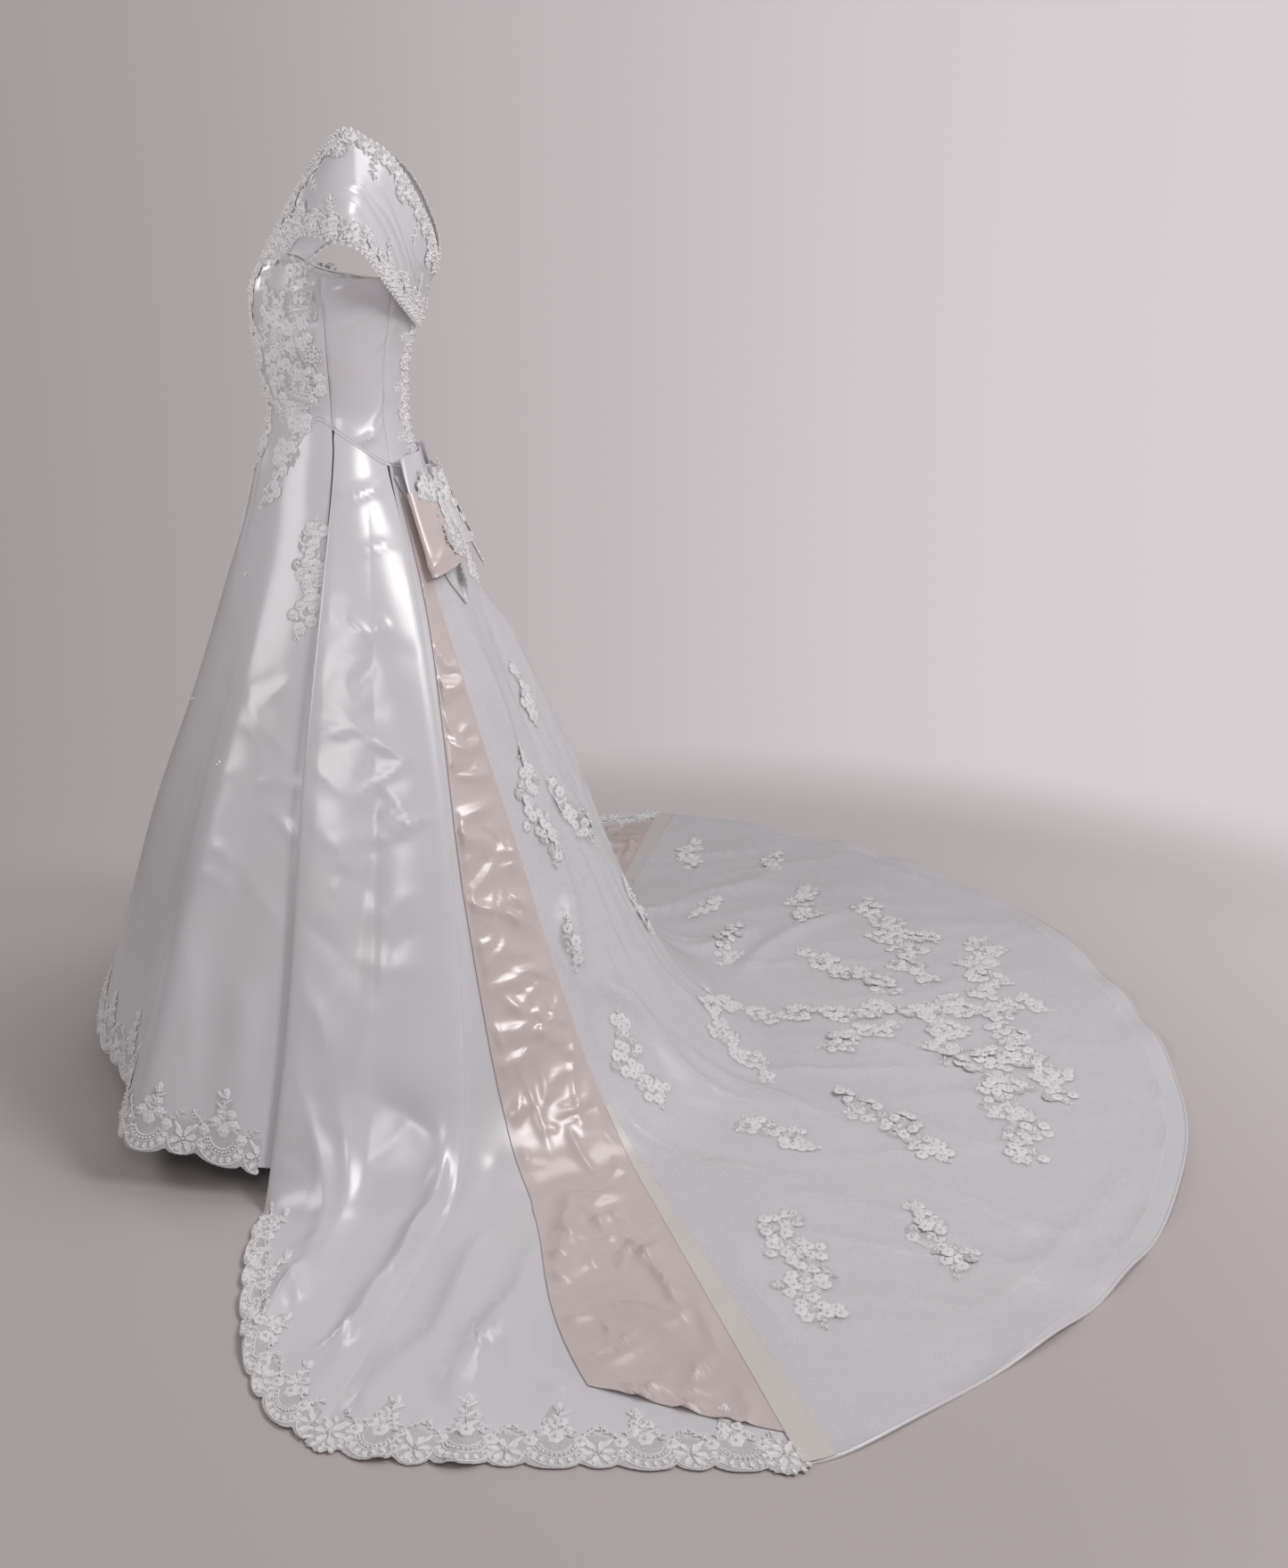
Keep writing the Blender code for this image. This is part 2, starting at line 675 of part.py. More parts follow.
def make_tulle():
    """Tulle over the train, bound in cream satin down its front edges."""
    grid, normal = whole_train()
    last = len(grid) - 1
    col = np.arange(grid.shape[1], dtype=float)
    from_edge = np.minimum(col, col[-1] - col)
    rows = np.arange(1.0, last + 1)[:, None] * np.ones(len(col))
    rows[-1] -= TULLE_SHORT * np.interp(from_edge, TULLE_CORNER, (0, 1))
    points, facing = sample(grid, rows, col), sample(normal, rows, col)
    low = SATIN + GAP
    layer("tulle_overlay", points, facing, low, low + LAYER, "tulle")
    rows = np.arange(BINDING_START, last + 1)[:, None]
    width = np.interp(rows, *BINDING_WIDTH)
    step = np.linalg.norm(sample(grid, rows, 1.0) - sample(grid, rows, 0.0), axis=2)
    col = width / step * np.linspace(0, 1, 3)
    points, facing = sample(grid, rows, col), sample(normal, rows, col)
    low = SATIN + 2 * GAP + LAYER
    both_sides("tulle_binding", points, facing, low, low + LAYER, "cream_satin")


def edge_lace(grid, normal, depth, parts, top=False):
    """Points and normals of a scalloped lace band along a grid's last row, or its first with top.

    depth is the band's width on the cloth, and parts the number of steps across each column.
    """
    if top:
        grid, normal = grid[::-1], normal[::-1]
    last = len(grid) - 1
    col = np.linspace(0, grid.shape[1] - 1, (grid.shape[1] - 1) * parts + 1)
    edge = sample(grid, last, col)
    above = sample(grid, last - 1, col)
    step = np.linalg.norm(edge - above, axis=1)
    inner_row = last - np.minimum(depth / step, DEEPEST_BAND)
    if top:
        inner, inner_facing = (sample(g[::-1], last - inner_row, col) for g in (grid, normal))
    else:
        inner, inner_facing = (sample(g, inner_row, col) for g in (grid, normal))
    along = np.concatenate([[0], np.cumsum(np.linalg.norm(np.diff(edge, axis=0), axis=1))])
    scallops = max(1, round(along[-1] / SCALLOP))
    wave = np.abs(np.sin(math.pi * scallops * along / along[-1]))
    wave = SCALLOP_LEAST + (1 - SCALLOP_LEAST) * wave
    outer = edge + (edge - above) / step[:, None] * LACE_OVERHANG * wave[:, None]
    facing = sample(normal, last, col)
    points, normal = np.stack([inner, edge, outer]), np.stack([inner_facing, facing, facing])
    if top:
        points, normal = points[::-1], normal[::-1]
    return points, normal


def sleeve_surface():
    """Inner surface of the left cap sleeve, neckline edge first, from its front end to its back."""
    neck = smooth_path(SLEEVE_NECK, SLEEVE_COLUMNS)
    hem = smooth_path(SLEEVE_HEM, SLEEVE_COLUMNS)
    share = np.linspace(0, 1, SLEEVE_COLUMNS)[:, None]
    puff = SLEEVE_PUFF * np.sin(np.pi * share) ** PUFF_SHAPE
    control = (neck + hem) / 2 + puff * PUFF_DIRECTION
    rows = [
        (1 - t) ** 2 * neck + 2 * t * (1 - t) * control + t * t * hem
        for t in np.linspace(0, 1, SLEEVE_ROWS)
    ]
    grid = np.stack(rows)
    angle = np.degrees(np.arctan2(grid[..., 0], -grid[..., 1]))
    radius = np.hypot(grid[..., 0], grid[..., 1])
    least = oval_radius(angle, grid[..., 2]) + SATIN + SLEEVE_CLEAR
    radius = np.where(grid[..., 2] < SLEEVE_CLEAR_BELOW, np.maximum(radius, least), radius)
    grid = polar(angle, radius, grid[..., 2])
    return grid, normals(grid)


def make_sleeves():
    """Off-the-shoulder cap sleeves with beaded lace along both edges."""
    grid, normal = sleeve_surface()
    both_sides("sleeve", grid, normal, 0, SATIN, "white_satin")
    low = LACE_LIFT
    for name, top in (("sleeve_neck_lace", True), ("sleeve_hem_lace", False)):
        points, facing = edge_lace(grid, normal, SLEEVE_LACE, 1, top)
        both_sides(name, points, facing, low, low + LAYER, "beaded_lace")


def make_lace():
    """Beaded lace along the front hem, the floor hem and the front neckline."""
    low = LACE_LIFT
    grid, normal = front_panel()
    trim = slice(1, -1)
    points, facing = edge_lace(grid[:, trim], normal[:, trim], HEM_LACE, 2)
    layer("hem_lace_front", points, facing, low, low + LAYER, "beaded_lace")
    grid, normal = side_panel()
    points, facing = edge_lace(grid[:, 2:-2], normal[:, 2:-2], HEM_LACE, 2)
    both_sides("hem_lace_side", points, facing, low, low + LAYER, "beaded_lace")
    grid, normal = side_back_panel()
    steps = 4
    depth = np.interp(np.linspace(0, 1, (SIDE_BACK_COLUMNS - 1) * steps + 1), *BACK_LACE)
    points, facing = edge_lace(grid, normal, depth, steps)
    both_sides("hem_lace_side_back", points, facing, low, low + LAYER, "beaded_lace")
    grid, normal = bodice()
    centre = len(WAIST_ANGLES) - 1
    reach = NECKLINE_COLUMNS
    part = slice(centre - reach, centre + reach + 1)
    points, facing = edge_lace(grid[:, part], normal[:, part], SLEEVE_LACE, 2, True)
    layer("neckline_lace", points, facing, low, low + LAYER, "beaded_lace")


def motif(stem, grid, normal, rows, first, last, lift):
    """A lobed lace motif on each side, between two uneven edges given in columns for each row."""
    lobe = MOTIF_LOBE * np.abs(np.sin(np.arange(len(rows)) * math.pi / 2))
    share = np.linspace(0, 1, MOTIF_COLUMNS)
    start, end = np.array(first) - lobe, np.array(last) + lobe
    col = start[:, None] + (end - start)[:, None] * share
    row = np.array(rows)[:, None]
    points, facing = sample(grid, row, col), sample(normal, row, col)
    both_sides(stem, points, facing, lift, lift + MOTIF_THICK, "beaded_lace")


def make_motifs():
    """The largest raised lace motifs: on the bodice, the front skirt and the floor of the train."""
    grid, normal = bodice()
    motif("bodice_applique", grid, normal, *BODICE_MOTIF, SATIN + BODICE_MOTIF_CLEAR)
    grid, normal = front_panel()
    motif("skirt_applique", grid, normal, *SKIRT_MOTIF, SATIN + SKIRT_MOTIF_CLEAR)
    turn, reach = np.array(TRAIN_MOTIF).T
    turn = np.concatenate([turn, 180 - turn[-2:0:-1]])
    reach = np.concatenate([reach, reach[-2:0:-1]])
    low = FLOOR + SATIN + LAYER + 2 * GAP
    rings = []
    for height, scale in ((low, 0.35), (low, 1.0), (low + MOTIF_THICK, 1.0), (low + MOTIF_THICK, 0.35)):
        x = TRAIN_MOTIF_CENTRE[0] + scale * reach * np.cos(np.radians(turn))
        y = TRAIN_MOTIF_CENTRE[1] + scale * reach * np.sin(np.radians(turn))
        rings.append(np.stack([x, y, np.full(len(turn), height)], -1))
    count = len(turn)
    middle = [(*TRAIN_MOTIF_CENTRE, low), (*TRAIN_MOTIF_CENTRE, low + MOTIF_THICK)]
    points = np.concatenate(rings + [np.array(middle)])
    faces = []
    for k in range(count):
        b = (k + 1) % count
        for ring in range(3):
            a, c = ring * count + k, ring * count + b
            faces.append((a, c, c + count, a + count))
        faces.append((b, k, 4 * count))
        faces.append((3 * count + k, 3 * count + b, 4 * count + 1))
    add_object("train_applique", points, faces, "beaded_lace")


def dome(name, centre, facing, radius, rise, sides=8):
    """A domed button on a flat back, its middle on the given point."""
    up = np.array([0.0, 0.0, 1.0])
    across = np.cross(up, facing)
    across /= np.linalg.norm(across)
    along = np.cross(facing, across)
    points = []
    for ring_radius, lift in BUTTON_RINGS:
        for k in range(sides):
            turn = 2 * math.pi * k / sides
            spoke = across * math.cos(turn) + along * math.sin(turn)
            points.append(centre + spoke * radius * ring_radius + facing * rise * lift)
    points.append(centre + facing * rise)
    faces = [tuple(range(sides - 1, -1, -1))]
    for ring in range(len(BUTTON_RINGS) - 1):
        for k in range(sides):
            a, b = ring * sides + k, ring * sides + (k + 1) % sides
            faces.append((a, b, b + sides, a + sides))
    faces += [(2 * sides + k, 2 * sides + (k + 1) % sides, 3 * sides) for k in range(sides)]
    add_object(name, points, faces, "satin_button")


def make_buttons():
    """Satin-covered buttons down the centre back."""
    grid, normal = bodice()
    heights = np.linspace(BUTTON_TOP, BUTTON_BOTTOM, BUTTON_COUNT)
    line, facing = grid[:, -1], normal[:, -1].copy()
    facing[:, 0] = 0
    facing /= np.linalg.norm(facing, axis=1, keepdims=True)
    for k, height in enumerate(heights):
        at = [np.interp(-height, -line[:, 2], line[:, i]) for i in range(3)]
        out = np.array([np.interp(-height, -line[:, 2], facing[:, i]) for i in range(3)])
        out /= np.linalg.norm(out)
        centre = np.array([0.0, at[1], at[2]]) + out * (SATIN + BUTTON_SEAT)
        dome(f"button_{k + 1:02d}", centre, out, BUTTON_RADIUS, BUTTON_RISE)


def tube(name, outer, inner, material_name):
    """A wall between two stacks of closed rings, open at both ends."""
    rows, count = outer.shape[:2]
    points = np.concatenate([outer.reshape(-1, 3), inner.reshape(-1, 3)])
    back = rows * count
    faces = []
    for i in range(rows - 1):
        for j in range(count):
            a, b = i * count + j, i * count + (j + 1) % count
            c, d = b + count, a + count
            faces += [(a, d, c, b), (a + back, b + back, c + back, d + back)]
    for j in range(count):
        a, b = j, (j + 1) % count
        faces.append((a, b, b + back, a + back))
        a, b = a + (rows - 1) * count, b + (rows - 1) * count
        faces.append((b, a, a + back, b + back))
    add_object(name, points, faces, material_name)


def bow_ring(side, first, last, heights, clear, puff, inset):
    """Rings of a bow loop that hugs the back: side is 1 for the left, with angles from the centre."""
    turn = np.linspace(0, 2 * math.pi, BOW_SIDES, endpoint=False)
    rings = []
    for height in heights:
        half = (last - first) / 2
        middle = (first + last) / 2
        angle = middle - (half - math.degrees(inset / BOW_DISTANCE)) * np.cos(turn)
        full = puff / 2 * np.interp(angle, (first, middle, last), BOW_FULLNESS)
        rise = np.sign(np.sin(turn)) * np.abs(np.sin(turn)) ** BOW_ROUNDNESS * (full - inset)
        radius = oval_radius(180 - angle, height) + clear + puff / 2 + rise
        ring = polar(180 - angle, radius, np.full(BOW_SIDES, height))
        ring[:, 0] *= side
        rings.append(ring[::-1] if side > 0 else ring)
    return np.stack(rings)


def make_bow():
    """The bow at the back waist: white tails, a blush loop each side and a knot between them."""
    for side, word in ((1, "left"), (-1, "right")):
        heights = np.linspace(BOW_TOP, BOW_BOTTOM, 5)
        outer = bow_ring(side, *BOW_LOOP_ANGLES, heights, BOW_CLEAR, BOW_PUFF, 0.0)
        inner = bow_ring(side, *BOW_LOOP_ANGLES, heights, BOW_CLEAR, BOW_PUFF, BOW_WALL)
        tube(f"bow_loop_{word}", outer, inner, "blush_satin")
    heights = np.linspace(*KNOT_ENDS, 4)
    outer = bow_ring(1, -BOW_KNOT_ANGLE, BOW_KNOT_ANGLE, heights, BOW_CLEAR, BOW_PUFF, 0.0)
    inner = bow_ring(1, -BOW_KNOT_ANGLE, BOW_KNOT_ANGLE, heights, BOW_CLEAR, BOW_PUFF, BOW_WALL)
    tube("bow_knot", outer, inner, "white_satin")
    shares = np.linspace(0, 1, 4)
    rows = []
    for height, first, last in BOW_TAIL:
        angle = 180 - (first + (last - first) * shares)
        rows.append(polar(angle, oval_radius(angle, height), height))
    grid = np.stack(rows)[:, ::-1]
    low = BOW_TAIL_CLEAR
    both_sides("bow_tail", grid, normals(grid), low, low + BOW_WALL, "white_satin")


def main():
    for old in list(bpy.data.objects):
        bpy.data.objects.remove(old, do_unlink=True)
    make_bodice()
    make_buttons()
    make_sleeves()
    make_skirt()
    make_lace()
    make_motifs()
    make_blush()
    make_tulle()
    make_bow()


main()
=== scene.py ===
"""A satin wedding dress with beaded lace, blush panels and a tulle train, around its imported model.

Metres, +Z up, origin in the middle of the waist, front to -Y, wearer's left to +X. Angles are
degrees round the body, 0 at the centre front, 90 at the wearer's left and 180 at the centre back.
Rows run down a skirt panel: 0 at the waist seam, 8 where the slope ends, 12 where the cloth
reaches the floor and 18 at the hem.
"""

import math

import bpy
import numpy as np
from mathutils.kdtree import KDTree
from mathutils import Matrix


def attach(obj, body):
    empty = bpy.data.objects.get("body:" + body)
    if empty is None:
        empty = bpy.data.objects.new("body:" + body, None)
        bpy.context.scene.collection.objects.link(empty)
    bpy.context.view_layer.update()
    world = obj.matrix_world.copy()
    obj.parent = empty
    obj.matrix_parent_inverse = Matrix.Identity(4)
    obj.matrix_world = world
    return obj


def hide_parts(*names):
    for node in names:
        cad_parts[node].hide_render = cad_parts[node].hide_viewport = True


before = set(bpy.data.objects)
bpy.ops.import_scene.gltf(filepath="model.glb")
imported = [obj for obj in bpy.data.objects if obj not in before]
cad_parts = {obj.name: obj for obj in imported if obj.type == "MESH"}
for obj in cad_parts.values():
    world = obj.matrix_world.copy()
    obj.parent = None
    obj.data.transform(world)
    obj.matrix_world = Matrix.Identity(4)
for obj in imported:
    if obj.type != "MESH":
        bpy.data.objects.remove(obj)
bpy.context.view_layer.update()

WAIST_HEIGHT = 1.06
FLOOR = -WAIST_HEIGHT
SATIN = 0.0020  # outer face of the white satin, off the body
CLOTH = 0.0010  # thickness of one visible layer of cloth

# Horizontal sections of the garment, each an oval with its own front and back depth
SECTIONS = np.array(
    [
        # height, half width, front depth, back depth
        (0.40, 0.150, 0.060, 0.130),
        (0.30, 0.165, 0.060, 0.156),
        (0.22, 0.166, 0.090, 0.151),
        (0.17, 0.160, 0.114, 0.136),
        (0.12, 0.152, 0.117, 0.118),
        (0.08, 0.144, 0.113, 0.106),
        (0.04, 0.133, 0.108, 0.102),
        (0.00, 0.127, 0.104, 0.100),
        (-0.04, 0.136, 0.112, 0.104),
        (-0.09, 0.152, 0.130, 0.116),
        (-0.15, 0.176, 0.146, 0.140),
        (-0.25, 0.215, 0.183, 0.188),
        (-0.42, 0.275, 0.246, 0.272),
        (-0.62, 0.350, 0.328, 0.356),
        (-0.85, 0.440, 0.405, 0.458),
        (-1.00, 0.510, 0.458, 0.553),
        (-1.06, 0.545, 0.480, 0.610),
    ]
)
WAIST_SEAM = np.array(
    [
        # angle, height
        (0, -0.250), (15, -0.232), (45, -0.155), (60, -0.095), (72, -0.035), (84, -0.006),
        (96, -0.026), (110, -0.050), (126, -0.074), (150, -0.085), (180, -0.088),
    ]
)
BODICE_TOP = np.array(
    [
        # angle, height
        (0, 0.165), (15, 0.186), (30, 0.213), (45, 0.226), (60, 0.223), (75, 0.206),
        (90, 0.195), (110, 0.188), (150, 0.194), (180, 0.207),
    ]
)

# Skirt seams: the angle of each at these depths below the waist, the last one at the floor
SEAM_DEPTHS = np.array([0.05, 0.25, 0.45, 0.65, 0.85, 1.00, 1.06])
SIDE_FRONT_SEAM = np.array([92.0, 86.0, 82.5, 81.3, 80.5, 79.5, 79.2])
SIDE_BACK_SEAM = np.array([129.0, 124.0, 120.0, 116.3, 113.0, 110.0, 109.0])
BLUSH_FRONT_EDGE = np.array([132.0, 128.0, 122.5, 119.0, 117.8, 117.2, 117.0])
TRAIN_SEAM = np.array([138.0, 134.5, 134.8, 136.0, 136.0, 135.3, 134.8])
CENTRE_BACK = np.full(len(SEAM_DEPTHS), 180.0)

# The hem on the floor, from the side front seam round to the centre back
HEM_POINTS = np.array(
    [
        # x, y
        (0.562, -0.107), (0.680, -0.104), (0.791, -0.088), (0.900, -0.060), (0.973, -0.018),
        (1.022, 0.045), (1.050, 0.130), (1.064, 0.278), (1.076, 0.400), (1.086, 0.520),
        (1.082, 0.610), (1.009, 0.745), (0.877, 0.948), (0.719, 1.112), (0.573, 1.210),
        (0.404, 1.289), (0.206, 1.338), (0.000, 1.352),
    ]
)
SIDE_BACK_HEM = (1.012, 0.028)
BLUSH_FRONT_HEM = (1.070, 0.345)
TRAIN_HEM = (1.086, 0.575)
FRONT_HEM = np.array(
    [
        # angle, radius, height
        (0, 0.458, -0.985), (18, 0.447, -0.985), (31, 0.441, -0.985), (38, 0.447, -0.985),
        (45, 0.474, -0.985), (51, 0.522, -0.985), (57, 0.556, -0.986), (62, 0.545, -0.988),
        (67, 0.532, -0.992), (72, 0.530, -1.000), (76, 0.527, -1.010), (80, 0.516, -1.018),
    ]
)
FOLD_START = -0.22
FOLD_GROWTH = 1.2

# Shares of the slope, of the bend and of the floor at each row
SLOPE_ROWS = (0.0, 0.07, 0.16, 0.28, 0.41, 0.55, 0.70, 0.85, 1.0)
BEND_ROWS = (0.0, 0.3, 0.55, 0.8, 1.0)
FLOOR_ROWS = (0.0, 0.16, 0.34, 0.52, 0.70, 0.87, 1.0)
SLOPE_END = -0.95
SLOPE_LAST, BEND_LAST, HEM_ROW = 8, 12, 18
BEND_REACH = 0.09
GATHER_DEPTH = 0.007
GATHER_TOP = -0.12
GATHER_ANGLES = (140.0, 152.0)
GATHERS_PER_TURN = 9

FULLNESS = 0.018
FULLNESS_DOWN = ((0, 5, 8, 11, 14, 18), (0.0, 1.0, 1.0, 0.40, 0.16, 0.10))
FULLNESS_ACROSS = ((0, 0.1, 0.5, 0.9, 1), (1.0, 1.0, 0.55, 1.0, 1.0))
FOLD_ROOT = 0.005
FOLD_OUT = 0.7
FOLD_OVER = 0.45

SLEEVE_NECK = np.array(
    [
        # x, y, z from front to back
        (0.100, -0.080, 0.217), (0.135, -0.047, 0.264), (0.155, -0.018, 0.304),
        (0.165, 0.014, 0.348), (0.165, 0.049, 0.379), (0.155, 0.077, 0.368),
        (0.142, 0.102, 0.352), (0.122, 0.124, 0.322), (0.098, 0.141, 0.287),
        (0.062, 0.154, 0.250), (0.012, 0.157, 0.214),
    ]
)
SLEEVE_HEM = np.array(
    [
        # x, y, z from front to back
        (0.136, -0.052, 0.216), (0.175, -0.030, 0.240), (0.215, -0.005, 0.252),
        (0.238, 0.025, 0.245), (0.243, 0.055, 0.238), (0.232, 0.072, 0.226),
        (0.200, 0.087, 0.202), (0.155, 0.103, 0.174), (0.105, 0.115, 0.152),
        (0.060, 0.122, 0.138), (0.012, 0.126, 0.126),
    ]
)
SLEEVE_PUFF = 0.030
PUFF_DIRECTION = np.array([0.84, 0.10, 0.53])
PUFF_SHAPE = 0.7
SLEEVE_CLEAR = 0.0012
SLEEVE_CLEAR_BELOW = 0.235

LEFT, RIGHT = (1, "left"), (-1, "right")


# Creases on the flat cloth: middle across and down, turn from straight down, half length, bow,
# half width and height, all but the turn in metres
FRONT_CREASES = (
    (0.379, 0.432, 41, 0.073, -0.007, 0.008, 0.0026),
    (0.479, 0.595, 59, 0.032, 0.001, 0.007, 0.0031),
    (0.444, 0.53, 95, 0.031, -0.002, 0.009, 0.0026),
    (0.406, 0.616, 44, 0.035, 0.002, 0.007, 0.0026),
    (0.41, 0.649, 50, 0.049, 0.003, 0.008, 0.002),
    (0.277, 0.319, 52, 0.092, -0.012, 0.012, -0.0033),
    (0.387, 0.392, 96, 0.019, -0.004, 0.01, 0.0026),
    (0.456, 0.816, 29, 0.139, 0.009, 0.028, 0.0078),
    (0.489, 0.834, 25, 0.119, -0.007, 0.025, -0.0065),
    (0.478, 0.682, 43, 0.076, -0.007, 0.01, 0.0016),
    (0.366, 0.449, 38, 0.094, 0.014, 0.009, 0.0018),
    (0.289, 0.434, 54, 0.096, -0.001, 0.01, 0.0016),
    (0.56, 0.897, 26, 0.089, 0.009, 0.022, 0.0052),
    (0.605, 0.915, 25, 0.084, -0.001, 0.02, -0.0039),
)
SIDE_CREASES = (
    (0.009, 0.143, 119, 0.031, 0.002, 0.008, 0.0027),
    (-0.017, 0.271, 65, 0.02, -0.003, 0.007, 0.003),
    (0.013, 0.259, 126, 0.013, 0.001, 0.006, 0.0027),
    (-0.015, 0.343, 148, 0.025, 0.004, 0.012, -0.0041),
    (-0.035, 0.423, 111, 0.041, 0, 0.007, 0.0027),
    (0.014, 0.438, 77, 0.032, 0.003, 0.007, 0.0024),
    (0.013, 0.483, 132, 0.046, 0.003, 0.008, 0.003),
    (-0.011, 0.555, 128, 0.08, -0.01, 0.008, 0.002),
    (-0.006, 0.578, 118, 0.05, 0.005, 0.007, 0.0027),
    (0.056, 0.542, 117, 0.028, 0.001, 0.007, 0.0043),
    (-0.031, 0.615, 114, 0.037, -0.003, 0.009, 0.002),
    (-0.008, 0.625, -7, 0.158, -0.011, 0.034, -0.0068),
    (-0.014, 0.852, -14, 0.115, 0.009, 0.028, 0.0068),
    (-0.011, 1.1, 13, 0.141, -0.001, 0.022, 0.0096),
    (0.116, 1.157, 2, 0.119, 0.005, 0.014, 0.0218),
    (0.132, 1.341, 9, 0.065, 0.009, 0.014, 0.019),
    (0.142, 1.149, 2, 0.074, 0.005, 0.009, 0.0064),
    (0.046, 0.967, 60, 0.063, 0.01, 0.026, -0.0068),
    (0.003, 1.255, 14, 0.03, -0.001, 0.009, 0.008),
    (0.081, 1.349, 50, 0.053, 0.006, 0.018, -0.0136),
    (-0.009, 0.069, 127, 0.047, -0.001, 0.01, 0.0041),
    (-0.05, 0.652, 134, 0.019, 0.003, 0.009, 0.0016),
    (-0.077, 0.857, 21, 0.038, 0.006, 0.02, 0.0034),
    (0.02, 1.33, 20, 0.09, 0.006, 0.02, 0.013),
    (-0.05, 1.36, 26, 0.08, 0.004, 0.018, 0.011),
    (0.139, 1.113, 1, 0.074, 0, 0.012, 0.015),
    (0.146, 1.271, 4, 0.084, 0.003, 0.013, 0.017),
    (0.175, 1.421, 20, 0.07, 0.003, 0.011, 0.013),
    (0.19, 1.21, 3, 0.08, 0.002, 0.008, 0.011),
    (0.203, 1.37, 12, 0.07, 0.002, 0.008, 0.011),
    (-0.041, 1.105, 20, 0.133, 0.004, 0.018, 0.008),
    (0.022, 1.28, 38, 0.042, 0.003, 0.008, 0.007),
)
SIDE_BACK_CREASES = (
    (-0.075, 1.395, -22, 0.065, -0.008, 0.016, 0.0085),
    (-0.109, 1.498, -12, 0.043, -0.005, 0.014, 0.0068),
    (-0.095, 1.127, -13, 0.086, -0.006, 0.02, -0.0068),
    (-0.122, 1.435, -29, 0.067, 0.009, 0.01, 0.0059),
    (0.001, 1.516, 43, 0.03, -0.001, 0.009, 0.0034),
    (-0.2, 1.47, -36, 0.08, 0, 0.02, 0.012),
    (-0.1, 1.6, -16, 0.07, 0, 0.018, 0.009),
    (-0.17, 1.58, -40, 0.05, 0.004, 0.014, 0.008),
    (0.02, 1.24, -8, 0.09, 0.003, 0.018, 0.01),
    (-0.089, 1.428, -28, 0.08, 0.004, 0.015, 0.012),
    (-0.124, 1.313, -12, 0.144, 0.006, 0.018, 0.014),
    (0, 1.532, -63, 0.024, 0.002, 0.008, 0.008),
    (-0.044, 1.378, -8, 0.14, -0.005, 0.018, 0.01),
)
BLUSH_CREASES = (
    (-0.008, 0.153, 117, 0.01, 0, 0.005, 0.0027),
    (-0.011, 0.253, 45, 0.017, -0.001, 0.006, 0.0034),
    (-0.009, 0.315, 112, 0.023, 0, 0.006, 0.0034),
    (-0.018, 0.389, 65, 0.019, -0.001, 0.006, 0.0041),
    (-0.01, 0.493, 98, 0.036, -0.001, 0.007, 0.0041),
    (-0.041, 0.568, 128, 0.021, 0, 0.007, 0.0034),
    (-0.025, 0.646, 110, 0.027, 0.001, 0.007, 0.0041),
    (0.022, 0.645, 70, 0.023, 0.002, 0.006, 0.0034),
    (-0.033, 0.716, 134, 0.031, 0.002, 0.008, 0.0041),
    (-0.003, 0.75, 96, 0.055, 0.006, 0.008, 0.0046),
    (0.028, 0.836, 137, 0.057, 0.005, 0.007, 0.0041),
    (0.051, 0.914, 160, 0.075, 0.008, 0.007, 0.0035),
    (-0.033, 0.94, 3, 0.062, 0.003, 0.008, 0.0041),
    (0.015, 1.038, 10, 0.046, -0.004, 0.007, 0.0041),
    (0.053, 1.094, 105, 0.029, 0.003, 0.009, 0.0041),
    (-0.008, 1.175, 15, 0.052, 0.006, 0.007, 0.0043),
    (0.048, 1.33, 11, 0.096, 0.006, 0.007, 0.0059),
    (0.09, 1.457, 3, 0.053, 0.001, 0.008, 0.0043),
    (0.058, 1.524, 127, 0.02, 0.001, 0.007, 0.0043),
    (0.144, 1.484, 114, 0.024, -0.002, 0.008, 0.0043),
    (0.233, 1.683, 23, 0.037, 0.003, 0.007, 0.0043),
)
TRAIN_FOLDS = (
    (-0.168, 0.396, -12, 0.15, 0.004, 0.016, 0.0085),
    (-0.092, 0.43, -13, 0.187, -0.013, 0.014, -0.0068),
    (-0.002, 0.435, 0, 0.184, -0.026, 0.014, 0.0068),
    (-0.227, 0.564, -29, 0.182, 0.021, 0.02, -0.0085),
    (-0.24, 0.674, -17, 0.138, 0.029, 0.018, 0.0101),
    (-0.269, 0.769, -16, 0.066, -0.025, 0.018, 0.0119),
    (-0.26, 0.887, 26, 0.061, 0.018, 0.02, 0.0169),
    (-0.292, 1.078, -23, 0.148, -0.005, 0.024, 0.0186),
    (-0.359, 0.938, -17, 0.074, -0.021, 0.018, -0.0068),
    (-0.525, 1.195, -29, 0.174, -0.012, 0.011, 0.0106),
    (-0.553, 1.207, -4, 0.078, 0.016, 0.008, 0.0074),
    (-0.305, 1.179, -33, 0.163, 0.022, 0.016, 0.0149),
    (-0.344, 1.365, -40, 0.224, -0.027, 0.015, 0.0128),
    (0.213, 1.317, 0, 0.144, 0.007, 0.01, 0.0095),
    (0.176, 1.571, -19, 0.116, -0.027, 0.01, 0.0085),
    (0.812, 1.597, 15, 0.165, 0.013, 0.012, 0.0106),
    (0.731, 1.754, -81, 0.225, -0.01, 0.012, 0.0085),
    (-0.702, 1.468, -30, 0.184, 0.023, 0.014, 0.0106),
    (-0.972, 1.614, -2, 0.094, 0.029, 0.012, 0.0085),
    (-0.992, 1.499, -54, 0.199, 0, 0.012, 0.0085),
    (-0.186, 1.423, -39, 0.164, 0.03, 0.012, 0.0106),
    (-0.677, 1.6, -36, 0.178, -0.011, 0.012, 0.0095),
    (-0.12, 1.652, -27, 0.135, -0.025, 0.012, 0.0085),
)
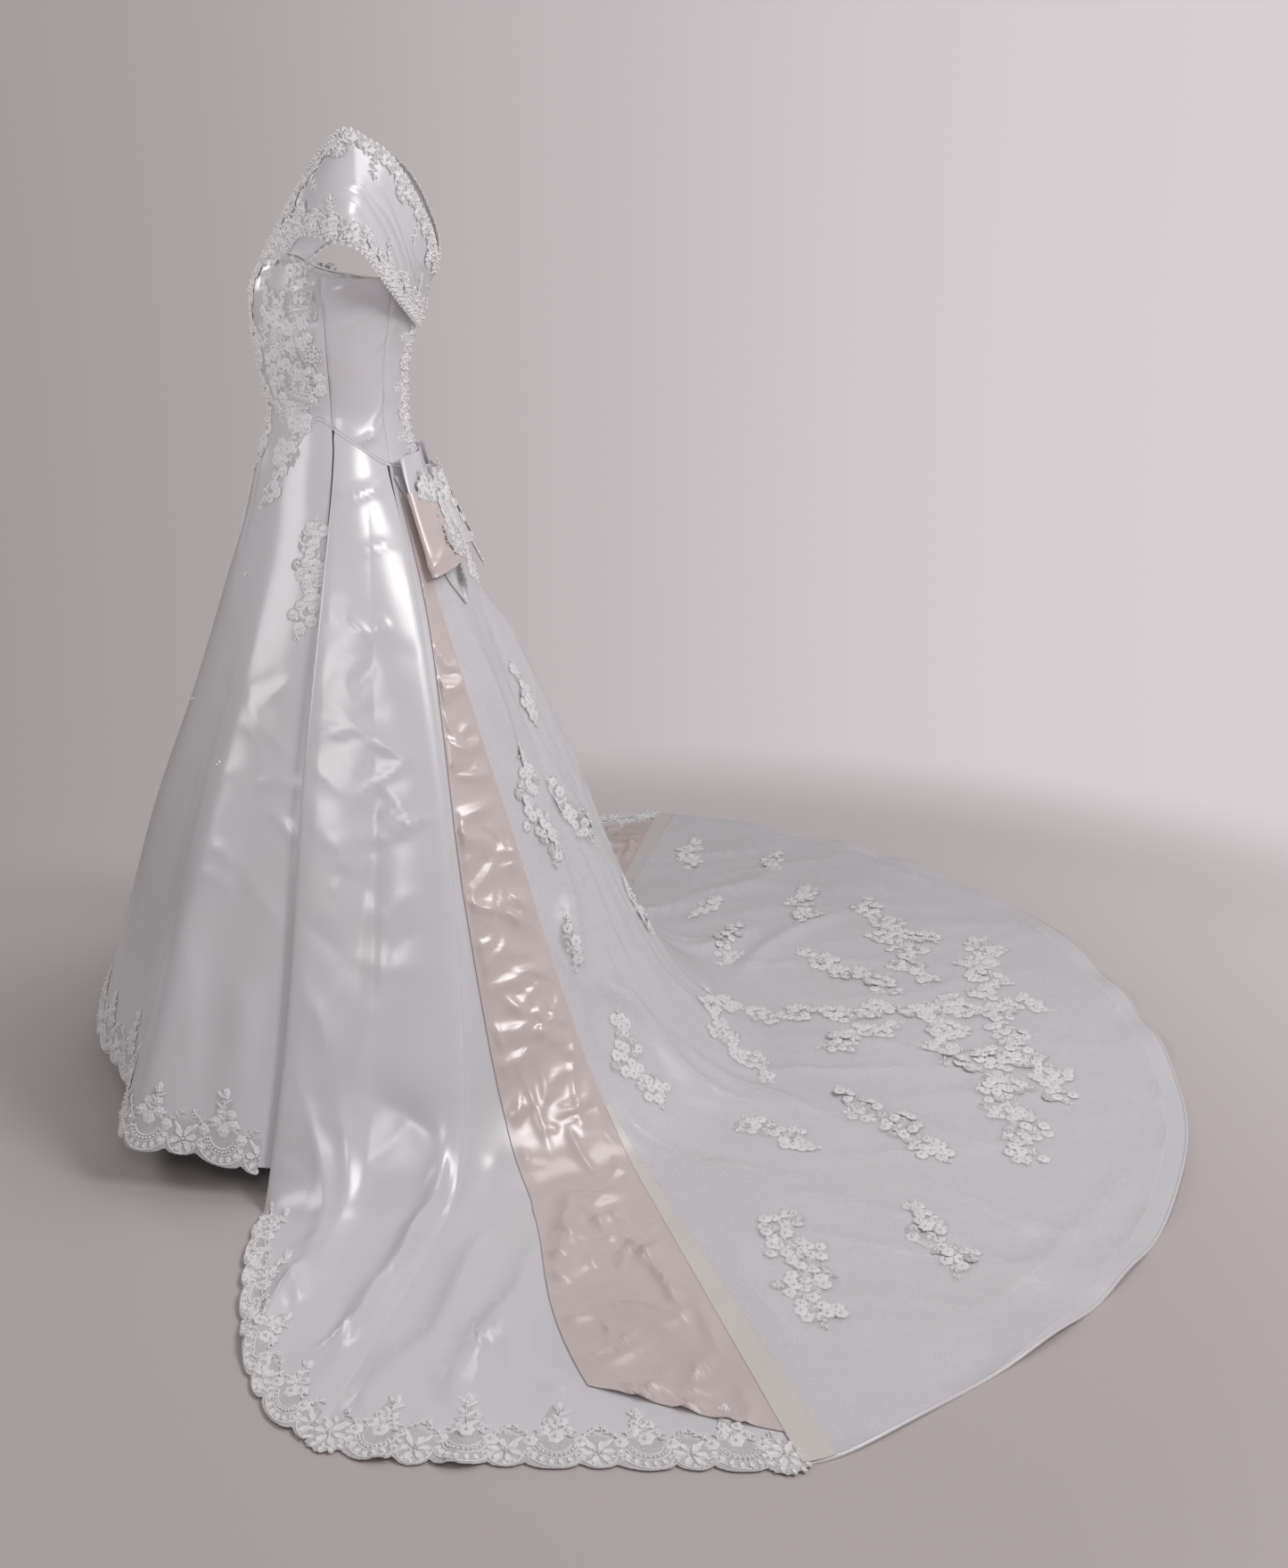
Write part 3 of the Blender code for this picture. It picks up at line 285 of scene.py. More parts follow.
SLEEVE_CREASES = (
    (0.056, 0.089, 84, 0.081, 0.002, 0.005, 0.0037),
    (0.084, 0.069, 81, 0.07, -0.011, 0.005, 0.0037),
    (0.034, 0.104, 74, 0.082, -0.007, 0.006, 0.0031),
    (0.107, 0.063, 87, 0.053, -0.002, 0.005, 0.0031),
    (-0.018, 0.126, 46, 0.066, 0.003, 0.007, 0.0025),
    (-0.068, 0.106, 33, 0.045, -0.006, 0.007, 0.0019),
    (0.126, 0.054, 96, 0.044, -0.008, 0.004, 0.0025),
)
BODICE_CREASES = (
    (0.176, -0.177, 110, 0.018, 0.001, 0.005, 0.0031),
    (0.171, -0.148, 100, 0.018, -0, 0.005, 0.0029),
    (0.175, -0.122, 106, 0.016, 0.001, 0.005, 0.0029),
    (0.153, -0.022, 72, 0.024, 0.001, 0.006, 0.0032),
    (0.265, -0.004, 142, 0.032, -0, 0.006, 0.0041),
    (0.252, 0.027, 125, 0.029, -0, 0.006, 0.0037),
    (0.24, 0.037, 107, 0.019, 0, 0.005, 0.0029),
    (0.218, -0.177, 114, 0.018, 0, 0.005, 0.0024),
    (0.236, -0.14, 127, 0.033, 0, 0.006, 0.0029),
    (0.272, -0.11, 134, 0.029, 0, 0.006, 0.0027),
    (0.112, -0.1, 119, 0.02, 0, 0.006, 0.0024),
    (0.084, -0.013, 70, 0.022, 0.001, 0.006, 0.0024),
)


# Shapes of the cloth


def smooth(at, keys, values):
    """Values between their keys: a cubic through them whose slopes never make it overshoot."""
    keys, values = np.asarray(keys, float), np.asarray(values, float)
    step = np.diff(keys)
    slope = np.diff(values) / step
    product = slope[:-1] * slope[1:]
    total = slope[:-1] + slope[1:]
    inner = np.where(product > 0, 2 * product / np.where(total == 0, 1, total), 0)
    tangent = np.concatenate([slope[:1], inner, slope[-1:]])
    at = np.clip(at, keys[0], keys[-1])
    k = np.clip(np.searchsorted(keys, at, side="right") - 1, 0, len(step) - 1)
    t = (at - keys[k]) / step[k]
    start, end = values[k], values[k + 1]
    leave, arrive = tangent[k] * step[k], tangent[k + 1] * step[k]
    return (
        start * (2 * t**3 - 3 * t**2 + 1)
        + leave * (t**3 - 2 * t**2 + t)
        + end * (3 * t**2 - 2 * t**3)
        + arrive * (t**3 - t**2)
    )


def unit(vectors):
    """Vectors scaled to length one."""
    return vectors / np.maximum(np.linalg.norm(vectors, axis=-1, keepdims=True), 1e-12)


def oval_radius(angle, height):
    """Distance from the axis to the garment: an oval whose half width and depths change with height."""
    width, front, back = (smooth(-height, -SECTIONS[:, 0], SECTIONS[:, k]) for k in (1, 2, 3))
    turn = np.radians(angle)
    depth = np.where(np.cos(turn) > 0, front, back)
    return 1 / np.sqrt((np.sin(turn) / width) ** 2 + (np.cos(turn) / depth) ** 2)


def polar(angle, radius, height):
    """Points at an angle from the centre front, a radius and a height."""
    turn, radius, height = np.broadcast_arrays(np.radians(angle), radius, height)
    return np.stack([radius * np.sin(turn), -radius * np.cos(turn), height], -1)


def normals(grid):
    """Unit normals: the cross product of the steps down the rows and along the columns."""
    return unit(np.cross(np.gradient(grid, axis=0), np.gradient(grid, axis=1)))


def sample(grid, row, col):
    """A grid read between its rows and columns, straight both ways."""
    row, col = np.broadcast_arrays(np.asarray(row, float), np.asarray(col, float))
    i = np.clip(row.astype(int), 0, grid.shape[0] - 2)
    j = np.clip(col.astype(int), 0, grid.shape[1] - 2)
    s, t = (row - i)[..., None], (col - j)[..., None]
    upper = grid[i, j] * (1 - t) + grid[i, j + 1] * t
    lower = grid[i + 1, j] * (1 - t) + grid[i + 1, j + 1] * t
    return upper * (1 - s) + lower * s


def smooth_path(points, count):
    """A Catmull-Rom curve through points, read at even distances along it."""
    ends = [2 * points[0] - points[1], *points, 2 * points[-1] - points[-2]]
    step = np.linspace(0, 1, 16, endpoint=False)[:, None]
    runs = []
    for p0, p1, p2, p3 in zip(ends, ends[1:], ends[2:], ends[3:]):
        runs.append(
            p1
            + 0.5 * step * (p2 - p0)
            + step**2 * (p0 - 2.5 * p1 + 2 * p2 - 0.5 * p3)
            + step**3 * (1.5 * (p1 - p2) + 0.5 * (p3 - p0))
        )
    fine = np.concatenate(runs + [points[-1:]])
    length = np.concatenate([[0], np.cumsum(np.linalg.norm(np.diff(fine, axis=0), axis=1))])
    at = np.linspace(0, length[-1], count)
    return np.stack([np.interp(at, length, fine[:, k]) for k in range(points.shape[1])], -1)


HEM = smooth_path(HEM_POINTS, 801)


def hem_share(point):
    """Share of the hem's length at the hem point nearest to this one."""
    return float(np.argmin(np.hypot(*(HEM - point).T))) / (len(HEM) - 1)


def hem_point(share):
    """Hem points on the floor at these shares of its length."""
    at = np.linspace(0, 1, len(HEM))
    x, y = (np.interp(share, at, HEM[:, k]) for k in (0, 1))
    return np.stack([x, y, np.full(x.shape, FLOOR)], -1)


def waist_height(angle):
    """Height of the waist seam at an angle."""
    return smooth(np.abs(angle), WAIST_SEAM[:, 0], WAIST_SEAM[:, 1])


def waist_angle(share, seam_a, seam_b):
    """Angle at which a share of a gore's width meets the waist seam, found by repeated substitution."""
    angle = seam_a[0] + (seam_b[0] - seam_a[0]) * share
    for _ in range(8):
        depth = -waist_height(angle)
        start = smooth(depth, SEAM_DEPTHS, seam_a)
        angle = start + (smooth(depth, SEAM_DEPTHS, seam_b) - start) * share
    return angle


def gathers(angle, height):
    """Depth of the train's soft gathers: a cosine round the back that fades at waist and floor."""
    way_down = np.clip((height - GATHER_TOP) / (SLOPE_END - GATHER_TOP), 0, 1)
    share = np.interp(angle, GATHER_ANGLES, (0, 1))
    wave = np.cos(np.radians((180 - angle) * GATHERS_PER_TURN))
    return GATHER_DEPTH * np.sin(np.pi * way_down) * share * wave


def gore(seam_a, seam_b, hem_a, hem_b, row, share):
    """Inner surface of a skirt gore: ovals down the slope, a quadratic bend, then straight to the hem."""
    row, share = np.broadcast_arrays(np.asarray(row, float), np.asarray(share, float))
    top = waist_height(waist_angle(share, seam_a, seam_b))

    def on_slope(part):
        height = top + (SLOPE_END - top) * part
        start = smooth(-height, SEAM_DEPTHS, seam_a)
        angle = start + (smooth(-height, SEAM_DEPTHS, seam_b) - start) * share
        return polar(angle, oval_radius(angle, height) + gathers(angle, height), height)

    start = on_slope(np.ones_like(share))
    foot_angle = seam_a[-1] + (seam_b[-1] - seam_a[-1]) * share
    foot = polar(foot_angle, oval_radius(foot_angle, np.full_like(share, FLOOR)), FLOOR)
    hem = hem_point(hem_a + (hem_b - hem_a) * share)
    length = np.linalg.norm(hem - foot, axis=-1, keepdims=True)
    landing = foot + (hem - foot) / length * np.minimum(BEND_REACH, 0.5 * length)
    slope = on_slope(np.interp(row, range(SLOPE_LAST + 1), SLOPE_ROWS))
    t = np.interp(row, range(SLOPE_LAST, BEND_LAST + 1), BEND_ROWS)[..., None]
    bend = (1 - t) ** 2 * start + 2 * t * (1 - t) * foot + t**2 * landing
    out = np.interp(row, range(BEND_LAST, HEM_ROW + 1), FLOOR_ROWS)[..., None]
    floor = landing + (hem - landing) * out
    which = row[..., None]
    return np.where(which < SLOPE_LAST, slope, np.where(which < BEND_LAST, bend, floor))


def side_back(row, share):
    """Inner surface of the left panel between the side panel and the train."""
    return gore(SIDE_BACK_SEAM, TRAIN_SEAM, hem_share(SIDE_BACK_HEM), hem_share(TRAIN_HEM), row, share)


def train(row, across):
    """Inner surface of the train, across 0 at its left seam, 1 at the centre back, 2 at the right."""
    across = np.asarray(across, float)
    grid = gore(TRAIN_SEAM, CENTRE_BACK, hem_share(TRAIN_HEM), 1.0, row, 1 - np.abs(across - 1))
    side = np.broadcast_to(np.where(across > 1, -1, 1), grid.shape[:2])
    return grid * np.stack([side, np.ones_like(side), np.ones_like(side)], -1)


def front(row, across):
    """Inner surface of the front panel, row 0 to 1, across -1 at its right seam to 1 at its left."""
    row, across = np.broadcast_arrays(np.asarray(row, float), np.asarray(across, float))
    share = np.abs(across)
    hem_angle = share * SIDE_FRONT_SEAM[-1]
    hem_radius = smooth(hem_angle, FRONT_HEM[:, 0], FRONT_HEM[:, 1])
    hem_height = smooth(hem_angle, FRONT_HEM[:, 0], FRONT_HEM[:, 2])
    top = waist_height(share * SIDE_FRONT_SEAM[0])
    height = top + (hem_height - top) * row
    grow = np.clip((FOLD_START - height) / (FOLD_START - hem_height), 0, 1) ** FOLD_GROWTH
    angle = smooth(-height, SEAM_DEPTHS, SIDE_FRONT_SEAM) * share
    extra = hem_radius - oval_radius(hem_angle, hem_height)
    return polar(angle * np.sign(across), oval_radius(angle, height) + extra * grow, height)


def side(row, share):
    """Inner surface of the left side panel: a gore that stands off, with folded edges over its neighbours."""
    row, share = np.broadcast_arrays(np.asarray(row, float), np.asarray(share, float))
    hems = 0.0, hem_share(SIDE_BACK_HEM)
    base = gore(SIDE_FRONT_SEAM, SIDE_BACK_SEAM, *hems, row, np.clip(share, 0, 1))
    tangent = unit(np.gradient(base, axis=1) + 1e-12)
    facing = unit(np.cross(np.gradient(base, axis=0), tangent))
    full = FULLNESS * np.interp(row, *FULLNESS_DOWN)
    lift = full * np.interp(share, *FULLNESS_ACROSS)
    edge = np.minimum(share, 1 - share) / SIDE_EDGE
    turned = np.clip(1 - edge, 0, 1)
    lift = lift * np.sqrt(np.clip(1 - turned**2, 0, 1))
    over = full * FOLD_OVER * np.sin(np.pi * turned) * np.where(share < 0.5, -1, 1)
    inset = FOLD_ROOT * turned * np.where(share < 0.5, 1, -1)
    inset = np.where(share > 0.5, inset * np.interp(row, (8.0, 10.5), (1, -0.06)), inset)
    return base + lift[..., None] * facing + (over + inset)[..., None] * tangent


SIDE_EDGE = 0.07  # share of the side panel's width taken by each folded edge


def bodice(row, angle):
    """Inner surface of the bodice, row 0 at its top to 1 at the waist seam."""
    top = smooth(np.abs(angle), BODICE_TOP[:, 0], BODICE_TOP[:, 1])
    height = top + (waist_height(angle) - top) * row
    return polar(angle, oval_radius(angle, height), height)


def sleeve(row, along):
    """Inner surface of the left cap sleeve, row 0 at its neckline to 1 at its hem, along 0 to 1."""
    row, along = np.broadcast_arrays(np.asarray(row, float), np.asarray(along, float))
    at = np.linspace(0, 1, 201)
    neck, hem = (
        np.stack([np.interp(along, at, smooth_path(edge, 201)[:, k]) for k in range(3)], -1)
        for edge in (SLEEVE_NECK, SLEEVE_HEM)
    )
    t = row[..., None]
    puff = SLEEVE_PUFF * np.sin(np.pi * np.clip(along, 0, 1))[..., None] ** PUFF_SHAPE
    control = (neck + hem) / 2 + puff * PUFF_DIRECTION
    grid = (1 - t) ** 2 * neck + 2 * t * (1 - t) * control + t * t * hem
    angle = np.degrees(np.arctan2(grid[..., 0], -grid[..., 1]))
    radius = np.hypot(grid[..., 0], grid[..., 1])
    least = oval_radius(angle, grid[..., 2]) + SATIN + SLEEVE_CLEAR
    radius = np.where(grid[..., 2] < SLEEVE_CLEAR_BELOW, np.maximum(radius, least), radius)
    return polar(angle, radius, grid[..., 2])


# Folds and creases


def flat_places(grid):
    """Each point's place on the flat cloth: metres across from the middle column, and metres down."""
    across = np.linalg.norm(np.diff(grid, axis=1), axis=2)
    across = np.concatenate([np.zeros((len(grid), 1)), np.cumsum(across, axis=1)], 1)
    down = np.linalg.norm(np.diff(grid, axis=0), axis=2)
    down = np.concatenate([np.zeros((1, grid.shape[1])), np.cumsum(down, axis=0)], 0)
    return across - across[:, grid.shape[1] // 2][:, None], down


def folds(across, down, table):
    """Sum of soft ridges, troughs where the height is negative: each falls off from a bowed line.

    A row of the table gives the line's middle on the flat cloth, its turn from straight down in
    degrees, its half length, its bow, its half width and its height.
    """
    across, down = np.broadcast_arrays(across, down)
    total = np.zeros(across.shape)
    for middle_across, middle_down, turn, half, bow, width, height in table:
        c, s = math.cos(math.radians(turn)), math.sin(math.radians(turn))
        x, y = across - middle_across, down - middle_down
        along = (y * c + x * s) / half
        beside = (x * c - y * s + bow * (along**2 - 0.5)) / width
        total += height * np.exp(-np.abs(beside) ** 1.5 - np.abs(along) ** 3)
    return total


def crumples(seed, count, box, turn, length, width, height):
    """A table of creases for folds(), drawn evenly from ranges: box is across and down, low and high."""
    draw = np.random.default_rng(seed)
    low, high = np.array(box, float).T
    middle = low + (high - low) * draw.random((count, 2))
    ranges = np.array([turn, length, (-0.3, 0.3), width, height], float)
    rest = ranges[:, 0] + (ranges[:, 1] - ranges[:, 0]) * draw.random((count, len(ranges)))
    rest[:, 2] *= rest[:, 1]
    rest[:, 4] *= draw.choice([-1, 1], count)
    return np.concatenate([middle, rest], 1)


def window(at, edges, reach):
    """0 at either edge of a range, 1 past a reach from it, eased."""
    share = np.clip(np.minimum(at - edges[0], edges[1] - at) / reach, 0, 1)
    return share * share * (3 - 2 * share)


def raised(grid, facing, heights):
    """A cloth surface with its creases; where it lies on the floor they can only rise."""
    above = np.clip((grid[..., 2] - FLOOR - 0.006) / 0.03, 0, 1)
    heights = np.where(heights < 0, heights * above, heights)
    return grid + heights[..., None] * facing


# Meshes


def mesh_object(name, points, faces, material):
    """A shown piece from arrays of points and of quads or triangles, smooth but for sharp edges."""
    mesh = bpy.data.meshes.new(name)
    size = faces.shape[1]
    mesh.vertices.add(len(points))
    mesh.vertices.foreach_set("co", np.asarray(points, np.float32).ravel())
    mesh.loops.add(faces.size)
    mesh.loops.foreach_set("vertex_index", np.asarray(faces, np.int32).ravel())
    mesh.polygons.add(len(faces))
    mesh.polygons.foreach_set("loop_start", np.arange(0, faces.size, size, dtype=np.int32))
    mesh.update(calc_edges=True)
    mesh.materials.append(material)
    mesh.shade_smooth()
    mesh.set_sharp_from_angle(angle=math.radians(60))
    made = bpy.data.objects.new(name, mesh)
    bpy.context.scene.collection.objects.link(made)
    return made


def grid_faces(rows, columns):
    """Quads of a grid of points, wound to face along normals()."""
    at = np.arange(rows * columns).reshape(rows, columns)
    a, b, c, d = at[:-1, :-1], at[1:, :-1], at[1:, 1:], at[:-1, 1:]
    return np.stack([a, b, c, d], -1).reshape(-1, 4)


def shell_arrays(outer, inner):
    """Points and triangles of a closed thin wall: a fine outer grid and, behind it, every second point.

    The counts of rows and columns are odd. Along the rim each step of the inner grid meets two of
    the outer grid's with three triangles.
    """
    rows, columns = outer.shape[:2]
    inner = inner[::2, ::2]
    count = rows * columns
    points = np.concatenate([outer.reshape(-1, 3), inner.reshape(-1, 3)])
    skins = []
    for shape, start, turned in (((rows, columns), 0, 1), (inner.shape[:2], count, -1)):
        quads = grid_faces(*shape) + start
        for corners in ((0, 1, 2), (0, 2, 3)):
            skins.append(quads[:, corners[::turned]])
    at = np.arange(count).reshape(rows, columns)
    back = np.arange(inner.shape[0] * inner.shape[1]).reshape(inner.shape[:2]) + count
    fine, coarse = (
        np.concatenate([g[0, :-1], g[:-1, -1], g[-1, :0:-1], g[:0:-1, 0]]) for g in (at, back)
    )
    a, middle, b = fine[::2], fine[1::2], np.roll(fine, -2)[::2]
    near, far = coarse, np.roll(coarse, -1)
    edge = [np.stack(corners, -1) for corners in ((a, middle, near), (middle, far, near), (middle, b, far))]
    return points, np.concatenate(skins + edge)


def mirror(grid):
    """The same grid on the wearer's other side, its columns still running to the left."""
    return (grid * np.array([-1, 1, 1]))[:, ::-1]


def cloth(name, grid, facing, high, material, thick=CLOTH):
    """A closed thin shell of cloth whose outer face lies at a height off a grid along its normals."""
    points, faces = shell_arrays(grid + high * facing, grid + (high - thick) * facing)
    made = mesh_object(name, points, faces, material)
    return made


def finish_piece(piece, nodes):
    """Rides a piece on the root body in place of its nodes, which it hides."""
    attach(piece, "root")
    if nodes:
        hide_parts(*nodes)
    return piece


# Finishes


def shader(name, colour, roughness, **constants):
    """A material with its Principled shader, whose constants are set on the shader's own sockets."""
    made = bpy.data.materials.new(name)
    made.use_nodes = True
    surface = made.node_tree.nodes["Principled BSDF"]
    surface.inputs["Base Color"].default_value = (*colour, 1)
    surface.inputs["Roughness"].default_value = roughness
    for socket, value in constants.items():
        surface.inputs[socket.replace("_", " ")].default_value = value
    return made, surface


def node(material, kind, inputs=(), **settings):
    """A shader node with its settings; an input is a number, a colour or another node's output."""
    made = material.node_tree.nodes.new(kind)
    for setting, value in settings.items():
        setattr(made, setting, value)
    for socket, value in dict(inputs).items():
        if isinstance(value, bpy.types.NodeSocket):
            material.node_tree.links.new(value, made.inputs[socket])
        else:
            made.inputs[socket].default_value = value
    return made


def placed(material, scale=(1, 1, 1), turn=(0, 0, 0)):
    """Object coordinates, scaled and turned."""
    at = node(material, "ShaderNodeTexCoord").outputs["Object"]
    turned = tuple(math.radians(x) for x in turn)
    return node(material, "ShaderNodeMapping", {"Vector": at, "Scale": scale, "Rotation": turned}).outputs[0]


def noise(material, where, scale, detail=3.0, rough=0.5, bent=0.0, kind="FBM"):
    """The height of a noise pattern: scale is in waves a metre, bent how far it is distorted."""
    inputs = {"Vector": where, "Scale": scale, "Detail": detail, "Roughness": rough, "Distortion": bent}
    return node(material, "ShaderNodeTexNoise", inputs, noise_type=kind).outputs["Fac"]


def levels(material, value, low, high):
    """A 0 to 1 value spread between two others."""
    return node(
        material,
        "ShaderNodeMapRange",
        {"Value": value, "From Min": 0.3, "From Max": 0.7, "To Min": low, "To Max": high},
    ).outputs["Result"]


def tinted(material, value, first, second):
    """A colour between two by a 0 to 1 value."""
    return node(
        material,
        "ShaderNodeMix",
        {"Factor": value, "A": (*first, 1), "B": (*second, 1)},
        data_type="RGBA",
    ).outputs["Result"]


def bumped(material, surface, layers):
    """Stacks height patterns on the shader's normal: each layer is a height, its depth and strength."""
    normal = None
    for height, depth, strength in layers:
        inputs = {"Height": height, "Distance": depth, "Strength": strength}
        if normal:
            inputs["Normal"] = normal
        normal = node(material, "ShaderNodeBump", inputs).outputs[0]
    material.node_tree.links.new(normal, surface.inputs["Normal"])


def link(material, output, surface, socket):
    material.node_tree.links.new(output, surface.inputs[socket])


def satin(name, light, deep, roughness, crinkle, sheen):
    """Duchess satin: long floats along the warp, slow colour changes and shallow random crinkles."""
    made, surface = shader(
        name,
        light,
        roughness,
        Specular_IOR_Level=0.85,
        Sheen_Weight=sheen,
        Sheen_Roughness=0.35,
        Anisotropic=0.25,
    )
    slow = noise(made, placed(made), 5.0, 2.0)
    link(made, tinted(made, levels(made, slow, 0.0, 1.0), light, deep), surface, "Base Color")
    link(made, levels(made, noise(made, placed(made), 12.0, 1.0), roughness - 0.01, roughness + 0.02), surface, "Roughness")
    floats = noise(made, placed(made, (900, 900, 60)), 1.0, 2.0)
    creased = noise(made, placed(made, (1, 1, 0.8), (25, 40, 15)), 9.0, 1.0, 0.4, 0.5)
    broad = noise(made, placed(made, (1, 1, 0.55), (20, -35, 10)), 4.5, 1.0, 0.4, 0.4)
    bumped(made, surface, [(broad, 0.030, crinkle), (creased, 0.012, 0.6 * crinkle), (floats, 0.0001, 0.03)])
    return made


def tulle_net():
    """Fine net: see-through between its threads, with slow changes where it lies double or folds."""
    made, surface = shader("tulle", (0.84, 0.84, 0.82), 0.6, Specular_IOR_Level=0.3, Sheen_Weight=0.6)
    threads = node(
        made,
        "ShaderNodeTexVoronoi",
        {"Vector": placed(made), "Scale": 650.0},
        feature="DISTANCE_TO_EDGE",
    ).outputs["Distance"]
    slow = noise(made, placed(made, (1, 0.5, 1), (0, 0, 30)), 6.0, 3.0, 0.5, 0.6)
    cover = levels(made, slow, 0.17, 0.42)
    net = node(
        made,
        "ShaderNodeMapRange",
        {"Value": threads, "From Min": 0.0, "From Max": 0.25, "To Min": 0.16, "To Max": -0.06},
    ).outputs["Result"]
    alpha = node(made, "ShaderNodeMath", {0: cover, 1: net}, operation="ADD").outputs[0]
    link(made, alpha, surface, "Alpha")
    link(made, tinted(made, slow, (0.98, 0.965, 0.975), (0.91, 0.90, 0.93)), surface, "Base Color")
    bumped(made, surface, [(threads, 0.0004, 0.3)])
    return made


def shaded_lace_ground():
    """Embroidered net seen close, with small raised cells; its grey colour is painted shade, standing for the shadow
    seen through the net, and is darkest in the grooves at the cells' edges.
    """
    made, surface = shader("shaded_lace_ground", (0.84, 0.825, 0.83), 0.55, Specular_IOR_Level=0.4, Sheen_Weight=0.3)
    cells = node(
        made, "ShaderNodeTexVoronoi", {"Vector": placed(made), "Scale": 330.0}, feature="DISTANCE_TO_EDGE"
    ).outputs["Distance"]
    edge = node(
        made,
        "ShaderNodeMapRange",
        {"Value": cells, "From Min": 0.0, "From Max": 0.25, "To Min": 0.0, "To Max": 1.0},
    ).outputs["Result"]
    # painted shade: the net is grey, and darker still at the cells' edges where they sink
    link(made, tinted(made, edge, (0.58, 0.56, 0.565), (0.70, 0.685, 0.69)), surface, "Base Color")
    bumped(made, surface, [(edge, 0.0005, 0.5)])
    return made


def embroidery():
    """Corded thread: soft white with fine stitches across it."""
    made, surface = shader("embroidery", (0.90, 0.89, 0.89), 0.5, Specular_IOR_Level=0.45, Sheen_Weight=0.3)
    stitched = noise(made, placed(made, (1, 1, 1.4)), 900.0, 2.0)
    slow = noise(made, placed(made), 40.0)
    link(made, tinted(made, levels(made, slow, 0, 1), (0.95, 0.945, 0.95), (0.88, 0.865, 0.87)), surface, "Base Color")
    bumped(made, surface, [(stitched, 0.0004, 0.5)])
    return made


def bead_finish(name, light, deep, roughness, **constants):
    """Beads, pearls or sequins: glossy, each a slightly different tint."""
    made, surface = shader(name, light, roughness, **constants)
    tint = noise(made, placed(made), 180.0, 1.0)
    link(made, tinted(made, levels(made, tint, 0, 1), light, deep), surface, "Base Color")
    link(made, levels(made, noise(made, placed(made), 400.0, 1.0), roughness * 0.8, roughness * 1.4), surface, "Roughness")
    return made


white_satin = satin("white_satin", (0.80, 0.78, 0.81), (0.75, 0.73, 0.75), 0.24, 0.20, 0.15)
blush_satin = satin("blush_satin", (0.76, 0.655, 0.63), (0.70, 0.60, 0.58), 0.24, 0.30, 0.12)
cream_satin = satin("cream_satin", (0.80, 0.765, 0.73), (0.75, 0.715, 0.68), 0.30, 0.10, 0.12)
tulle_white = tulle_net()
# net of the lace, coloured with painted shade
shaded_lace_net = shaded_lace_ground()
lace_thread = embroidery()
pearl = bead_finish("pearl", (0.96, 0.95, 0.94), (0.88, 0.86, 0.87), 0.14, Coat_Weight=0.6, Coat_Roughness=0.08)
crystal = bead_finish("crystal", (0.88, 0.74, 0.70), (0.70, 0.66, 0.66), 0.08, Coat_Weight=0.8, Coat_Roughness=0.03)


# Lace: small raised shapes placed on the cloth

SIDES = 6
PEARL = 0.0020  # radius of the usual pearl
RISE = 0.0019  # height of embroidered petals and leaves


def rings(outline, levels_table, back=True):
    """Points and triangles of nested outlines: each level is a share of the outline and a height."""
    count = len(outline)
    points = [np.column_stack([outline * share, np.full(count, height)]) for share, height in levels_table[:-1]]
    points.append(np.array([[0, 0, levels_table[-1][1]], [0, 0, levels_table[0][1]]]))
    k = np.arange(count)
    after = (k + 1) % count
    faces = []
    for ring in range(len(levels_table) - 2):
        a, b = k + ring * count, after + ring * count
        faces += [np.stack([a, b, b + count], -1), np.stack([a, b + count, a + count], -1)]
    last, top = (len(levels_table) - 2) * count, (len(levels_table) - 1) * count
    faces.append(np.stack([k + last, after + last, np.full(count, top)], -1))
    faces.append(np.stack([after, k, np.full(count, top + 1)], -1))
    return np.concatenate(points), np.concatenate(faces)


def make_templates():
    """One petal, leaf, pearl, crystal, ground disc and length of cord, each one unit in size."""
    turn = np.linspace(0, 2 * math.pi, SIDES, endpoint=False)
    c, s = np.cos(turn), np.sin(turn)
    petal = np.stack([c, s * (0.80 + 0.20 * c)], -1)
    leaf = np.stack([c, s * np.abs(s) ** 0.4 * (0.9 - 0.25 * c)], -1)
    five = np.linspace(0, 2 * math.pi, 5, endpoint=False)
    five = np.stack([np.cos(five), np.sin(five)], -1)
    many = np.linspace(0, 2 * math.pi, 16, endpoint=False)
    many = np.stack([np.cos(many), np.sin(many)], -1) * (1 + 0.08 * np.cos(8 * many))[:, None]
    lobed = np.linspace(0, 2 * math.pi, 12, endpoint=False)
    lobed = np.stack([np.cos(lobed), np.sin(lobed)], -1) * (1 + 0.11 * np.cos(6 * lobed))[:, None]
    bar = np.array([(-0.5, -1, 0), (-0.5, -0.6, 0.9), (-0.5, 0.6, 0.9), (-0.5, 1, 0)])
    bar = np.concatenate([bar, bar * (-1, 1, 1)])
    quads = np.array([(0, 1, 5, 4), (1, 2, 6, 5), (2, 3, 7, 6), (3, 0, 4, 7), (3, 2, 1, 0), (4, 5, 6, 7)])
    bar_faces = np.concatenate([quads[:, [0, 2, 1]], quads[:, [0, 3, 2]]])
    return {
        "petal": rings(petal, ((1, 0), (0.80, 1), (0, 0.40))),
        "leaf": rings(leaf, ((1, 0), (0.6, 0.9), (0, 0.6))),
        "pearl": rings(five, ((1.05, 0.4), (0.75, 1.5), (0, 1.95))),
        "crystal": rings(petal, ((1, 0), (0.6, 1), (0, 1))),
        "ground": rings(many, ((1, 0), (0, 1))),
        "rosette": rings(lobed, ((1, 0.2), (0.80, 0.8), (0.40, 0.3), (0, 0.7))),
        "cord": (bar, bar_faces),
    }


TEMPLATES = make_templates()
FINISH_OF = {"petal": 0, "leaf": 0, "cord": 0, "rosette": 0, "pearl": 1, "crystal": 2, "ground": 3}


